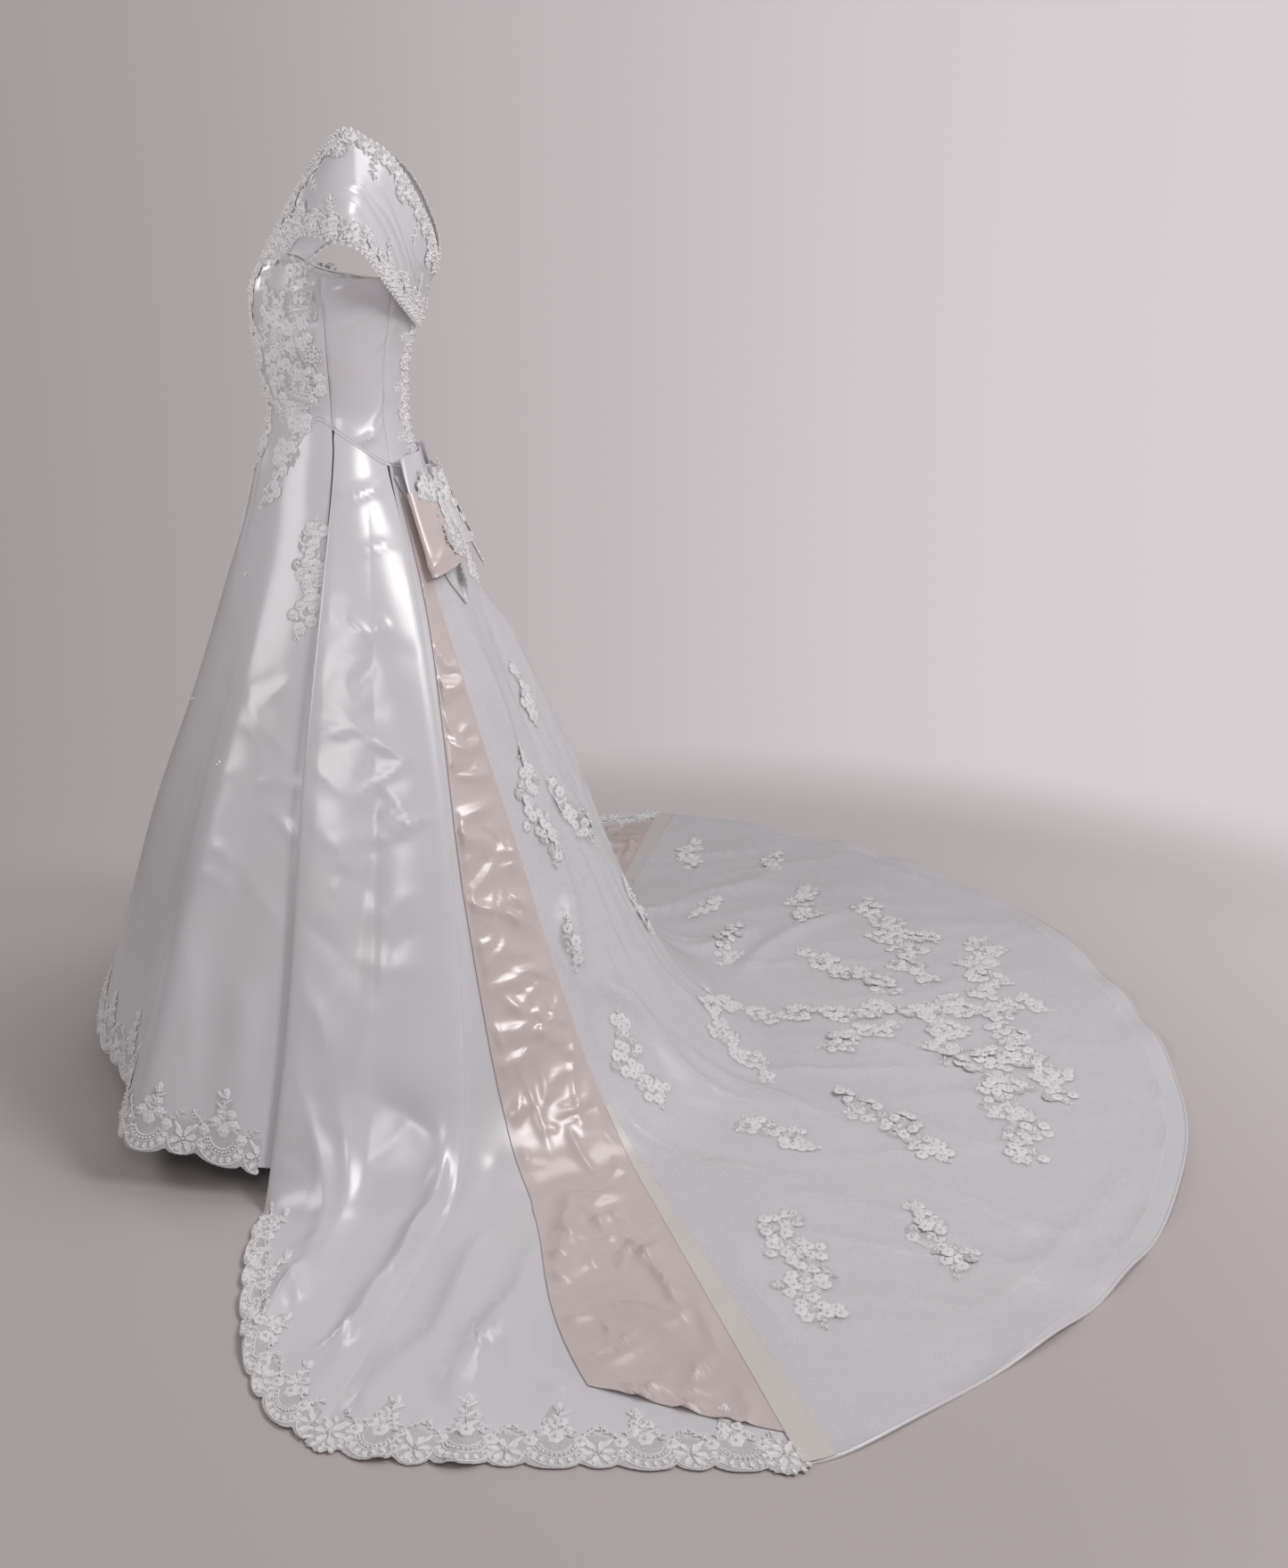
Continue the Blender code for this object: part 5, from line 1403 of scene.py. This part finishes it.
def hem_outer(at):
    """How far past the edge it reaches: a scallop round each flower and a wider one round each fan."""
    from_flower = np.abs((at / HEM_PITCH + 0.5) % 1 - 0.5) * HEM_PITCH
    from_fan = FAN - from_flower
    flower_lobe = 0.0105 * np.sqrt(np.clip(1 - (from_flower / 0.0225) ** 2, 0, 1))
    fan_lobe = 0.0125 * np.sqrt(np.clip(1 - (from_fan / 0.0350) ** 2, 0, 1))
    return np.maximum(flower_lobe, fan_lobe) + 0.0010 * np.abs(np.sin(math.pi * at / 0.0082))


def make_hem_lace():
    """Scalloped beaded lace along the front hem and the hems on the floor."""
    for stem, first, last in (
        ("front", 2, -2),
        ("side_left", 7, -3),
        ("side_right", 3, -7),
        ("side_back_left", 1, -1),
        ("side_back_right", 1, -1),
    ):
        grid, facing = (a[:, first:last] for a in shapes["skirt_" + stem])
        name = "hem_lace_" + stem
        ends = (0, -1) if "side_back" in name else ()
        lace_band(name, name, Edge(grid, facing, SATIN), hem_repeat, HEM_PITCH, hem_inner, hem_outer, ends=ends)


EDGE_PITCH = 0.030


def edge_repeat(number, tiers=1):
    """One repeat of the sleeve lace: rosettes, curls and leaves between close rows of pearls."""
    gem = "crystal" if number % 5 == 2 else "pearl"
    sway = (-1) ** number
    steps = np.arange(6) * EDGE_PITCH / 6
    items = [("rosette", 0, 0.0085, 33 * number, 0.0092, 0.0092, RISE)]
    items += [(gem, 0, 0.0085, 0, PEARL, PEARL, PEARL * 1.9)]
    items += moved(scroll(0.0060), EDGE_PITCH / 2, 0.0090, 70 + 40 * number, flip=number % 2 > 0)
    items += pearls_along([(x, -0.0030 + 0.0030 * abs(math.sin(x * 210))) for x in steps], PEARL * 1.1)
    items += pearls_along([(x + 0.002, 0.0030 + 0.0012 * math.sin(x * 400)) for x in steps], PEARL)
    items += pearls_along([(x, 0.0175 + 0.0030 * math.sin(x * 420 + number)) for x in steps[::2]], PEARL)
    items += [("petal", x + 0.0025, -0.0040, 270, 0.0046, 0.0040, 0.0012) for x in steps[::2]]
    items += [("leaf", 0.022, 0.018, 70 + 30 * sway, 0.007, 0.0036, RISE)]
    if tiers > 1:
        items += [("rosette", 0.006, 0.0225, 20 * number, 0.0085, 0.0085, RISE)]
        items += [("pearl", 0.006, 0.0225, 0, PEARL, PEARL, PEARL * 1.9)]
        items += moved(scroll(0.0062), 0.021, 0.0235, 200 + 50 * sway, flip=number % 2 > 0)
        items += pearls_along(arc(0.012, 0.027, 0.007, 20, 160, 5), PEARL * 1.1)
    if number % 4 == 1:
        items += moved(sprig(0.028, 5, 0.2 * sway), 0.006, 0.020 + 0.008 * (tiers - 1), 12 * sway)
    if number % 4 == 3:
        items += [("ground", 0.008, 0.026 + 0.008 * (tiers - 1), 0, 0.0125, 0.0125, 0.0009)]
        items += moved(flower(0.0110, 6), 0.008, 0.027 + 0.008 * (tiers - 1), 15)
    return items


def wide_repeat(number):
    """The deeper repeat along the sleeve's hem."""
    return edge_repeat(number, 2)


def make_sleeve_lace():
    """Beaded lace along both edges of the sleeves and along the front neckline."""
    for _, word in (LEFT, RIGHT):
        shaped = shapes["sleeve_" + word]
        for part, top in (("neck", True), ("hem", False)):
            name = f"sleeve_{part}_lace_{word}"
            edge = Edge(*shaped, SATIN, top)
            wide = 0.017 if top else 0.027
            lace_band(
                name,
                name,
                edge,
                edge_repeat if top else wide_repeat,
                EDGE_PITCH,
                lambda at, wide=wide: wide + 0.004 * np.sin(at * 230) + 0.002 * np.sin(at * 610),
                lambda at: 0.002 + 0.004 * np.abs(np.sin(at * math.pi / 0.018)),
            )
    grid = bodice(np.linspace(0, 1, 52)[:, None], np.linspace(-49, 49, 80)[None])
    edge = Edge(grid, normals(grid), SATIN, True)
    lace_band(
        "neckline_lace",
        "neckline_lace",
        edge,
        edge_repeat,
        EDGE_PITCH,
        lambda at: 0.016 + 0.003 * np.sin(at * 260),
        lambda at: 0.002 + 0.004 * np.abs(np.sin(at * math.pi / 0.018)),
    )


TRAIN_MOTIFS = (
    # from x, y, z, to x, y, z, width
    (0.00, 0.55, -1.02, 0.00, 0.96, -1.06, 0.065),
    (0.00, 0.97, -1.06, 0.00, 1.18, -1.06, 0.100),
    (-0.08, 0.94, -1.06, -0.25, 0.80, -1.06, 0.070),
    (-0.12, 1.00, -1.06, -0.50, 0.97, -1.06, 0.075),
    (-0.30, 1.06, -1.06, -0.36, 1.00, -1.06, 0.060),
    (-0.05, 1.10, -1.06, -0.29, 1.15, -1.06, 0.085),
    (0.05, 0.90, -1.06, 0.13, 0.78, -1.06, 0.065),
    (0.04, 0.99, -1.06, 0.19, 0.97, -1.06, 0.080),
    (0.16, 1.03, -1.06, 0.49, 1.02, -1.06, 0.085),
    (0.08, 1.08, -1.06, 0.32, 1.13, -1.06, 0.075),
    (0.62, 0.62, -1.06, 0.84, 0.64, -1.06, 0.080),
    (0.61, 0.81, -1.06, 0.75, 0.84, -1.06, 0.055),
    (0.30, 0.77, -1.06, 0.47, 0.89, -1.06, 0.065),
    (0.37, 0.61, -1.06, 0.43, 0.69, -1.06, 0.055),
    (0.05, 0.56, -1.04, 0.22, 0.66, -1.06, 0.065),
    (0.28, 0.41, -0.92, 0.33, 0.46, -1.03, 0.060),
    (-0.73, 0.62, -1.06, -0.89, 0.64, -1.06, 0.050),
    (-0.70, 0.80, -1.06, -0.79, 0.82, -1.06, 0.045),
    (-0.45, 0.61, -1.06, -0.53, 0.65, -1.06, 0.045),
    (-0.40, 0.82, -1.06, -0.58, 0.85, -1.06, 0.060),
    (-0.22, 0.64, -1.06, -0.40, 0.66, -1.06, 0.055),
    (-0.28, 0.41, -0.92, -0.33, 0.46, -1.03, 0.060),
    (0.17, 0.26, -0.52, 0.21, 0.31, -0.66, 0.060),
    (0.11, 0.31, -0.59, 0.08, 0.37, -0.68, 0.050),
    (0.06, 0.26, -0.41, 0.07, 0.29, -0.47, 0.026),
    (0.02, 0.44, -0.80, 0.01, 0.47, -0.87, 0.034),
    (0.26, 0.33, -0.77, 0.26, 0.34, -0.81, 0.020),
    (-0.17, 0.26, -0.52, -0.21, 0.31, -0.66, 0.060),
    (-0.11, 0.31, -0.59, -0.08, 0.37, -0.68, 0.050),
)


def motif_between(cover, seed, start, end, width, gem="pearl"):
    """A lace motif laid on a cover from one point to another."""
    start, end = np.array(start, float), np.array(end, float)
    length = float(np.linalg.norm(end - start)) + 0.02
    where, right, up = frame_at(cover, (start + end) / 2, end - start)
    return laid(applique(seed, length, width, gem), cover, where, right, up)


def make_train_lace():
    """Motifs scattered over the tulle, with the branching one at the middle of the train."""
    cover = tulle_cover
    parts = [
        motif_between(cover, 100 + k, row[:3], row[3:6], row[6], "crystal" if k % 2 else "pearl")
        for k, row in enumerate(TRAIN_MOTIFS)
    ]
    finish_piece(lace_mesh("dress_train_applique", parts), ["train_applique"])


def round_motif(radius, gem="crystal"):
    """A large round flower: corded rings, a wreath of pearls, petals and scallops round it."""
    items = [("ground", 0, 0, 0, radius * 1.12, radius * 1.12, 0.0012)]
    items += ring_of("petal", 6, radius * 0.40, radius * 0.26, radius * 0.20, RISE * 1.2)
    items += pearls_along(arc(0, 0, radius * 0.20, 0, 300, 6), PEARL * 0.9)
    items += [(gem, 0, 0, 0, PEARL * 1.7, PEARL * 1.7, PEARL * 1.2)]
    items += cord_path(arc(0, 0, radius * 0.66, 0, 360, 17), 0.0010)
    items += pearls_along(arc(0, 0, radius * 0.78, 0, 338, 16), PEARL * 0.9)
    items += ring_of("petal", 12, radius * 0.99, radius * 0.17, radius * 0.14, RISE, 10)
    items += pearls_along(arc(0, 0, radius * 1.13, 0, 324, 10), PEARL * 0.85)
    return items


def on_body(angle, height):
    """A point of the garment by its angle from the centre front and its height."""
    return polar(angle, oval_radius(angle, height) + SATIN, height)


BODICE_MOTIFS = (
    # first angle and height, last angle and height, width, seed
    (77, 0.196, 79, 0.128, 0.072, 1),
    (74, 0.120, 72, 0.020, 0.075, 2),
    (58, 0.190, 62, 0.100, 0.050, 3),
    (50, 0.120, 56, 0.010, 0.050, 4),
    (67, 0.004, 63, -0.060, 0.044, 5),
    (60, -0.055, 50, -0.118, 0.036, 6),
    (25, 0.180, 30, 0.075, 0.055, 7),
    (24, 0.060, 27, -0.060, 0.045, 8),
)
ROUND_MOTIFS = (
    # angle, height, radius
    (80, 0.152, 0.0230),
    (73, 0.046, 0.0215),
    (63, 0.109, 0.0130),
    (84, 0.085, 0.0120),
)
FRONT_MOTIFS = ((0, 0.185, 0, 0.060, 0.080, 11), (0, 0.060, 0, -0.060, 0.070, 12), (0, -0.05, 0, -0.165, 0.050, 13))
SKIRT_MOTIFS = ((82, -0.165, 82, -0.225, 0.044, 14), (81.5, -0.215, 80.5, -0.290, 0.046, 15))
LOOSE_PEARLS = ((46, -0.231), (18, -0.436), (57, -0.498), (-30, -0.36), (-58, -0.52), (5, -0.60))
BACK_STRIP = (0.021, 0.205, -0.078)  # off the centre back, from this height to that


def body_motif(cover, row, sign, gem="pearl"):
    """One row of a table of motifs, laid on the body on the left or, mirrored, on the right."""
    first, high, last, low, width, seed = row
    start, end = on_body(sign * last, low), on_body(sign * first, high)
    return motif_between(cover, seed + 40 * (sign < 0), start, end, width, gem)


def make_bodice_lace():
    """Beaded motifs over the front of the bodice, the front skirt and beside the buttons."""
    body = Cover(*shapes["bodice"], SATIN)
    skirt = Cover(*shapes["skirt_front"], SATIN)
    for sign, word in (LEFT, RIGHT):
        parts = [body_motif(body, row, sign, "crystal" if row[-1] % 2 else "pearl") for row in BODICE_MOTIFS]
        for angle, height, radius in ROUND_MOTIFS:
            where, right, up = frame_at(body, on_body(sign * angle, height), (0, 0, 1))
            parts.append(laid(round_motif(radius), body, where, right, up))
        finish_piece(lace_mesh(f"dress_bodice_applique_{word}", parts), [f"bodice_applique_{word}"])
        parts = [body_motif(skirt, row, sign) for row in SKIRT_MOTIFS]
        finish_piece(lace_mesh(f"dress_skirt_applique_{word}", parts), [f"skirt_applique_{word}"])
        off, high, low = BACK_STRIP
        back = on_body(180, high), on_body(180, low)
        shift = np.array([sign * off, 0, 0])
        where, right, up = frame_at(body, (back[0] + back[1]) / 2 + shift, back[0] - back[1])
        strip = []
        for k, y in enumerate(np.arange(-0.5, 0.5, 0.066) * (high - low)):
            strip += moved(edge_repeat(k), y, -0.008, flip=False)
        strip = moved(strip, 0, 0, 90, flip=sign > 0)
        finish_piece(lace_mesh(f"dress_back_edge_beading_{word}", [laid(strip, body, where, right, up)]), [])
    parts = [body_motif(body, row, 1) for row in FRONT_MOTIFS]
    parts += [
        laid(moved([("pearl", 0, 0, 0, 0.0026, 0.0026, 0.0026), ("pearl", 0.006, 0, 0, PEARL, PEARL, PEARL)], 0, 0, angle),
             skirt, *frame_at(skirt, on_body(angle, height), (0, 0, 1)))
        for angle, height in LOOSE_PEARLS
    ]
    finish_piece(lace_mesh("dress_front_beading", parts), [])


def tube(name, path, radius, material, sides=8):
    """A closed round cord of cloth along a path, its ends rounded off to points."""
    along = unit(np.gradient(path, axis=0))
    aside = unit(np.cross(along, np.array([0.13, 0.07, 0.99])))
    above = np.cross(aside, along)
    turn = np.linspace(0, 2 * math.pi, sides, endpoint=False)
    size = radius * np.minimum(1, np.minimum(np.arange(len(path)), np.arange(len(path))[::-1]) / 2 + 0.35)[:, None, None]
    ring = np.cos(turn)[None, :, None] * aside[:, None] + np.sin(turn)[None, :, None] * above[:, None]
    points = np.concatenate([(path[:, None] + size * ring).reshape(-1, 3), path[:1], path[-1:]])
    k = np.arange(len(path) - 1)[:, None] * sides + np.arange(sides)[None]
    after = np.arange(len(path) - 1)[:, None] * sides + (np.arange(sides) + 1)[None] % sides
    skin = [np.stack([k, k + sides, after], -1), np.stack([after, k + sides, after + sides], -1)]
    s, last, count = np.arange(sides), (len(path) - 1) * sides, len(path) * sides
    ends = [
        np.stack([s, (s + 1) % sides, np.full(sides, count)], -1),
        np.stack([last + (s + 1) % sides, last + s, np.full(sides, count + 1)], -1),
    ]
    faces = np.concatenate([f.reshape(-1, 3) for f in skin + ends])
    return mesh_object(name, points, faces, material)


def make_trims():
    """Satin pipings: the bodice's bound top edge, its waist seam and the rolled hem of the train."""
    angle = np.linspace(50, 310, 260)
    top = smooth(np.minimum(angle, 360 - angle), BODICE_TOP[:, 0], BODICE_TOP[:, 1])
    path = polar(angle, oval_radius(angle, top) + SATIN * 0.6, top + 0.0006)
    finish_piece(tube("dress_top_binding", path, 0.0019, cream_satin), [])
    for sign, word in (LEFT, RIGHT):
        angle = np.linspace(55, 179, 130)
        seam = waist_height(angle)
        for part, drop, radius in (("seam", 0.0, 0.0011), ("stitching", 0.0052, 0.0006)):
            path = polar(angle, oval_radius(angle, seam + drop) + SATIN + 0.0004, seam + drop) * np.array([sign, 1, 1])
            finish_piece(tube(f"dress_waist_{part}_{word}", path, radius, white_satin, 6), [])
    grid, facing = shapes["train"]
    path = (grid + (SATIN * 0.5) * facing)[-1]
    finish_piece(tube("dress_train_rolled_hem", path, 0.0026, white_satin), [])


BOW_TOP = -0.100
BOW_BOTTOM = -0.235
BOW_CLEAR = 0.0074
BOW_PUFF = 0.026
BOW_TAIL_CLEAR = 0.0047
BOW_TAIL = np.array(
    [
        # height, first and last angle from the centre back
        (-0.092, 20, 50),
        (-0.140, 18, 44),
        (-0.190, 18, 38),
        (-0.240, 20, 36),
        (-0.285, 27, 29),
    ]
)
LOOP_CREASES = (
    # on the outer face: across from the knot, down, as the other creases
    (0.030, 0.030, 62, 0.030, 0.004, 0.006, 0.0022),
    (0.040, 0.050, 40, 0.035, 0.005, 0.007, 0.0020),
    (0.052, 0.085, 28, 0.040, -0.004, 0.008, 0.0022),
    (0.024, 0.090, 75, 0.022, 0.003, 0.006, 0.0020),
    (0.060, 0.112, 60, 0.026, 0.004, 0.007, 0.0020),
    (0.036, 0.118, 50, 0.024, 0.003, 0.007, 0.0016),
)


def bow_ring(first, last, height, turn, puff, fullness=(0.55, 1, 0.7), roundness=0.6):
    """A loop that hugs the back, round and round by its turn, between two angles from the centre back."""
    middle, half = (first + last) / 2, (last - first) / 2
    angle = middle - half * np.cos(turn)
    full = puff / 2 * np.interp(angle, (first, middle, last), fullness)
    rise = np.sign(np.sin(turn)) * np.abs(np.sin(turn)) ** roundness * full
    radius = oval_radius(180 - angle, height) + BOW_CLEAR + BOW_PUFF / 2 + rise
    return polar(180 - angle, radius, height)


def outward(grid):
    """A grid of a closed loop with normals that face out of it, its columns turned round if need be."""
    facing = normals(grid)
    inside = grid.mean(axis=1, keepdims=True)
    if ((grid - inside) * facing).sum() < 0:
        grid = grid[:, ::-1]
        facing = normals(grid)
    return grid, facing


def make_bow():
    """The bow at the back waist: white tails and inner loops, a blush loop each side and a knot."""
    turn = np.linspace(0.02, 2 * math.pi - 0.02, 97)[None]
    row = np.linspace(0, 1, 45)[:, None]
    covers = []
    for sign, word in (LEFT, RIGHT):
        outer = (1 - np.cos(turn)) / 2
        height = (BOW_TOP - 0.016 * outer) * (1 - row) + (BOW_BOTTOM + 0.030 * (1 - outer)) * row
        grid, facing = outward(bow_ring(9.0, 48.0, height, turn, BOW_PUFF))
        from_knot = 0.075 * (1 - np.cos(turn)) / 2
        table = np.array(LOOP_CREASES)
        table[:, 1] += 0.006 * (sign < 0)
        heights = folds(from_knot, BOW_TOP - height, table)
        grid = grid + (heights * window(row, (0, 1), 0.08))[..., None] * facing
        if sign < 0:
            grid, facing = mirror(grid), mirror(facing)
        piece = cloth(f"dress_bow_loop_{word}", grid, facing, 0.0, blush_satin, 0.0012)
        finish_piece(piece, [f"bow_loop_{word}"])
        cut(grid)
        covers.append((grid, facing, 0.0))

        rise = np.linspace(0, 1, 31)[:, None]
        pleats = 0.0022 * np.cos(turn * 5) * (1 - rise)
        height = -0.060 - 0.062 * rise + 0.006 * np.cos(turn) + 0 * turn
        grid, facing = outward(bow_ring(16.0, 47.0, height, turn, 0.011 + 2 * pleats))
        if sign < 0:
            grid, facing = mirror(grid), mirror(facing)
        piece = cloth(f"dress_bow_inner_loop_{word}", grid, facing, 0.0, white_satin, 0.0009)
        finish_piece(piece, [])
        cut(grid)

        down = np.linspace(0, 1, 61)
        height = np.interp(down, (0, 1), (BOW_TAIL[0, 0], BOW_TAIL[-1, 0]))
        first, last = (smooth(-height, -BOW_TAIL[:, 0], BOW_TAIL[:, k]) for k in (1, 2))
        share = np.linspace(0, 1, 25)[None]
        angle = 180 - (last[:, None] + (first - last)[:, None] * share)
        waves = 0.0012 * np.sin(share * 15 + 2 * down[:, None])
        radius = oval_radius(angle, height[:, None]) + BOW_TAIL_CLEAR + 0.0008 + waves
        grid = polar(angle, radius, height[:, None] + 0 * angle)
        facing = normals(grid)
        if sign < 0:
            grid, facing = mirror(grid), mirror(facing)
        piece = cloth(f"dress_bow_tail_{word}", grid, facing, 0.0008, white_satin, 0.0009)
        finish_piece(piece, [f"bow_tail_{word}"])
        cut(grid)
        cover = Cover(grid, facing, 0.0008)
        edge = grid[::-1, -2] if sign > 0 else grid[::-1, 1]
        parts = []
        for k in range(9, 52, 7):
            where, right, up = frame_at(cover, edge[k], (0, 0, -1))
            parts.append(laid(moved(flower(0.0080, 5, "crystal" if k == 23 else "pearl", False), 0, 0, k), cover, where, right, up))
            parts.append(laid(pearls_along(arc(0, 0, 0.0095, 0, 240, 5)), cover, where, right, up))
        finish_piece(lace_mesh(f"dress_bow_tail_beading_{word}", parts), [])
    height = np.linspace(-0.088, -0.205, 41)[:, None] + 0 * turn
    ridges = 0.0016 * np.cos(turn * 4) + 0.003
    grid, facing = outward(bow_ring(-8.9, 8.9, height, turn, BOW_PUFF + ridges))
    piece = cloth("dress_bow_knot", grid, facing, 0.0, white_satin, 0.0012)
    finish_piece(piece, ["bow_knot"])
    cut(grid)
    covers.append((grid, facing, 0.0))
    cover = Cover(*covers[0], *covers[1:])
    parts = []
    for sign, word in (LEFT, RIGHT):
        for angle, height, motif, turned in (
            (153, -0.185, round_motif(0.0270), 0),
            (150, -0.128, applique(71, 0.075, 0.055, "crystal"), 25 * sign),
            (164, -0.150, applique(72, 0.095, 0.050), 0),
            (160, -0.222, applique(73, 0.050, 0.040), -20 * sign),
            (146, -0.150, [("crystal", 0, 0, 0, 0.0036, 0.0036, 0.0026)], 0),
        ):
            start = polar(sign * angle, oval_radius(angle, height) + BOW_CLEAR + BOW_PUFF + 0.004, height)
            where, right, up = frame_at(cover, start, (0, 0, -1))
            parts.append(laid(moved(motif, 0, 0, turned), cover, where, right, up))
    where, right, up = frame_at(cover, polar(180.0, 0.16, -0.145), (0, 0, -1))
    parts.append(laid(applique(74, 0.105, 0.045, "crystal"), cover, where, right, up))
    finish_piece(lace_mesh("dress_bow_applique", parts), [])


# The studio: camera, lights and floor


def make_camera():
    """The camera of the photograph: to the wearer's left and a little behind, looking down."""
    data = bpy.data.cameras.new("camera")
    data.sensor_width = 36
    data.lens = 35.816
    camera = bpy.data.objects.new("camera", data)
    bpy.context.scene.collection.objects.link(camera)
    camera.location = (2.4837, 0.3054, 0.205)
    heading = math.radians(90 - 3.8)
    camera.rotation_euler = (math.radians(90 - 18.32), 0, heading)
    bpy.context.scene.camera = camera


def area_light(name, at, aim, size, power, colour):
    """A soft round light at a place, turned towards a point."""
    data = bpy.data.lights.new(name, "AREA")
    data.shape = "DISK"
    data.size = size
    data.energy = power
    data.color = colour
    lamp = bpy.data.objects.new(name, data)
    bpy.context.scene.collection.objects.link(lamp)
    direction = np.array(aim, float) - np.array(at, float)
    lamp.location = at
    lamp.rotation_euler = (
        math.acos(-direction[2] / np.linalg.norm(direction)),
        0,
        math.atan2(direction[1], direction[0]) - math.pi / 2,
    )


WALL_DARK = (0.345, 0.310, 0.310)
WALL_BRIGHT = (0.68, 0.635, 0.65)
ROOM_LIGHT = 0.34  # the room's light on the dress, as a share of the wall's brightness


def make_studio():
    """Soft light from above and both sides over a pale floor whose colour holds painted light and shade: darker near
    the dress and paler away from it, where it fades into the wall.
    """
    bpy.context.scene.view_settings.view_transform = "Standard"
    area_light("key_light", (1.7, 2.8, 1.8), (0, 1.0, -0.8), 1.3, 48, (1.0, 0.99, 0.99))
    area_light("fill_light", (0.75, -1.25, 0.45), (0.1, -0.1, 0.3), 0.9, 7, (0.98, 0.99, 1.0))
    area_light("side_light", (2.0, 0.2, 0.45), (0, 0, 0.2), 0.7, 5, (1.0, 0.99, 1.0))
    area_light("far_light", (-1.9, -1.9, 0.8), (0, 0, -0.2), 1.0, 9, (0.98, 0.99, 1.0))
    area_light("top_light", (-0.2, 1.6, 1.5), (0, 1.2, -1.0), 1.2, 12, (1, 0.99, 1))
    world = bpy.data.worlds.new("studio")
    bpy.context.scene.world = world
    world.use_nodes = True
    background = world.node_tree.nodes["Background"]
    way = node(world, "ShaderNodeSeparateXYZ", {0: node(world, "ShaderNodeTexCoord").outputs["Generated"]}).outputs["Y"]
    spread = node(
        world,
        "ShaderNodeMapRange",
        {"Value": way, "From Min": -0.42, "From Max": 0.42, "To Min": 0.0, "To Max": 1.0},
        interpolation_type="SMOOTHSTEP",
    ).outputs["Result"]
    link(world, tinted(world, spread, WALL_DARK, WALL_BRIGHT), background, "Color")
    seen = node(world, "ShaderNodeLightPath").outputs["Is Camera Ray"]
    strength = node(world, "ShaderNodeMapRange", {"Value": seen, "To Min": ROOM_LIGHT, "To Max": 1.0}).outputs["Result"]
    link(world, strength, background, "Strength")
    corners = np.array([(-60, -60, FLOOR), (60, -60, FLOOR), (60, 60, FLOOR), (-60, 60, FLOOR)])
    made, surface = shader("floor", (0.60, 0.55, 0.545), 0.9, Specular_IOR_Level=0.0)
    at = node(made, "ShaderNodeTexCoord").outputs["Object"]
    centred = node(made, "ShaderNodeMapping", {"Vector": at, "Location": (-0.55, -0.45, -FLOOR)})
    away = node(made, "ShaderNodeVectorMath", {0: centred.outputs[0]}, operation="LENGTH").outputs["Value"]
    # painted light and shade on the floor: darker near the dress, paler further off to match the wall; far away it
    # turns see-through
    painted_floor_light, gone = (
        node(
            made,
            "ShaderNodeMapRange",
            {"Value": away, "From Min": near, "From Max": far, "To Min": 0.0, "To Max": 1.0},
            interpolation_type="SMOOTHSTEP",
        ).outputs["Result"]
        for near, far in ((0.7, 1.7), (1.6, 2.3))
    )
    link(made, tinted(made, painted_floor_light, (0.60, 0.545, 0.54), (0.80, 0.745, 0.74)), surface, "Base Color")
    solid = node(made, "ShaderNodeMath", {0: 1.0, 1: gone}, operation="SUBTRACT").outputs[0]
    link(made, solid, surface, "Alpha")
    floor = mesh_object("floor", corners, np.array([[0, 1, 2, 3]]), made)


make_camera()
make_studio()
make_bodice()
make_sleeves()
make_skirt()
make_blush()
tulle_cover = make_tulle()
make_hem_lace()
make_sleeve_lace()
make_train_lace()
make_bodice_lace()
make_trims()
make_bow()

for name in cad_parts:
    if name.startswith("button"):
        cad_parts[name].data.materials.clear()
        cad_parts[name].data.materials.append(white_satin)
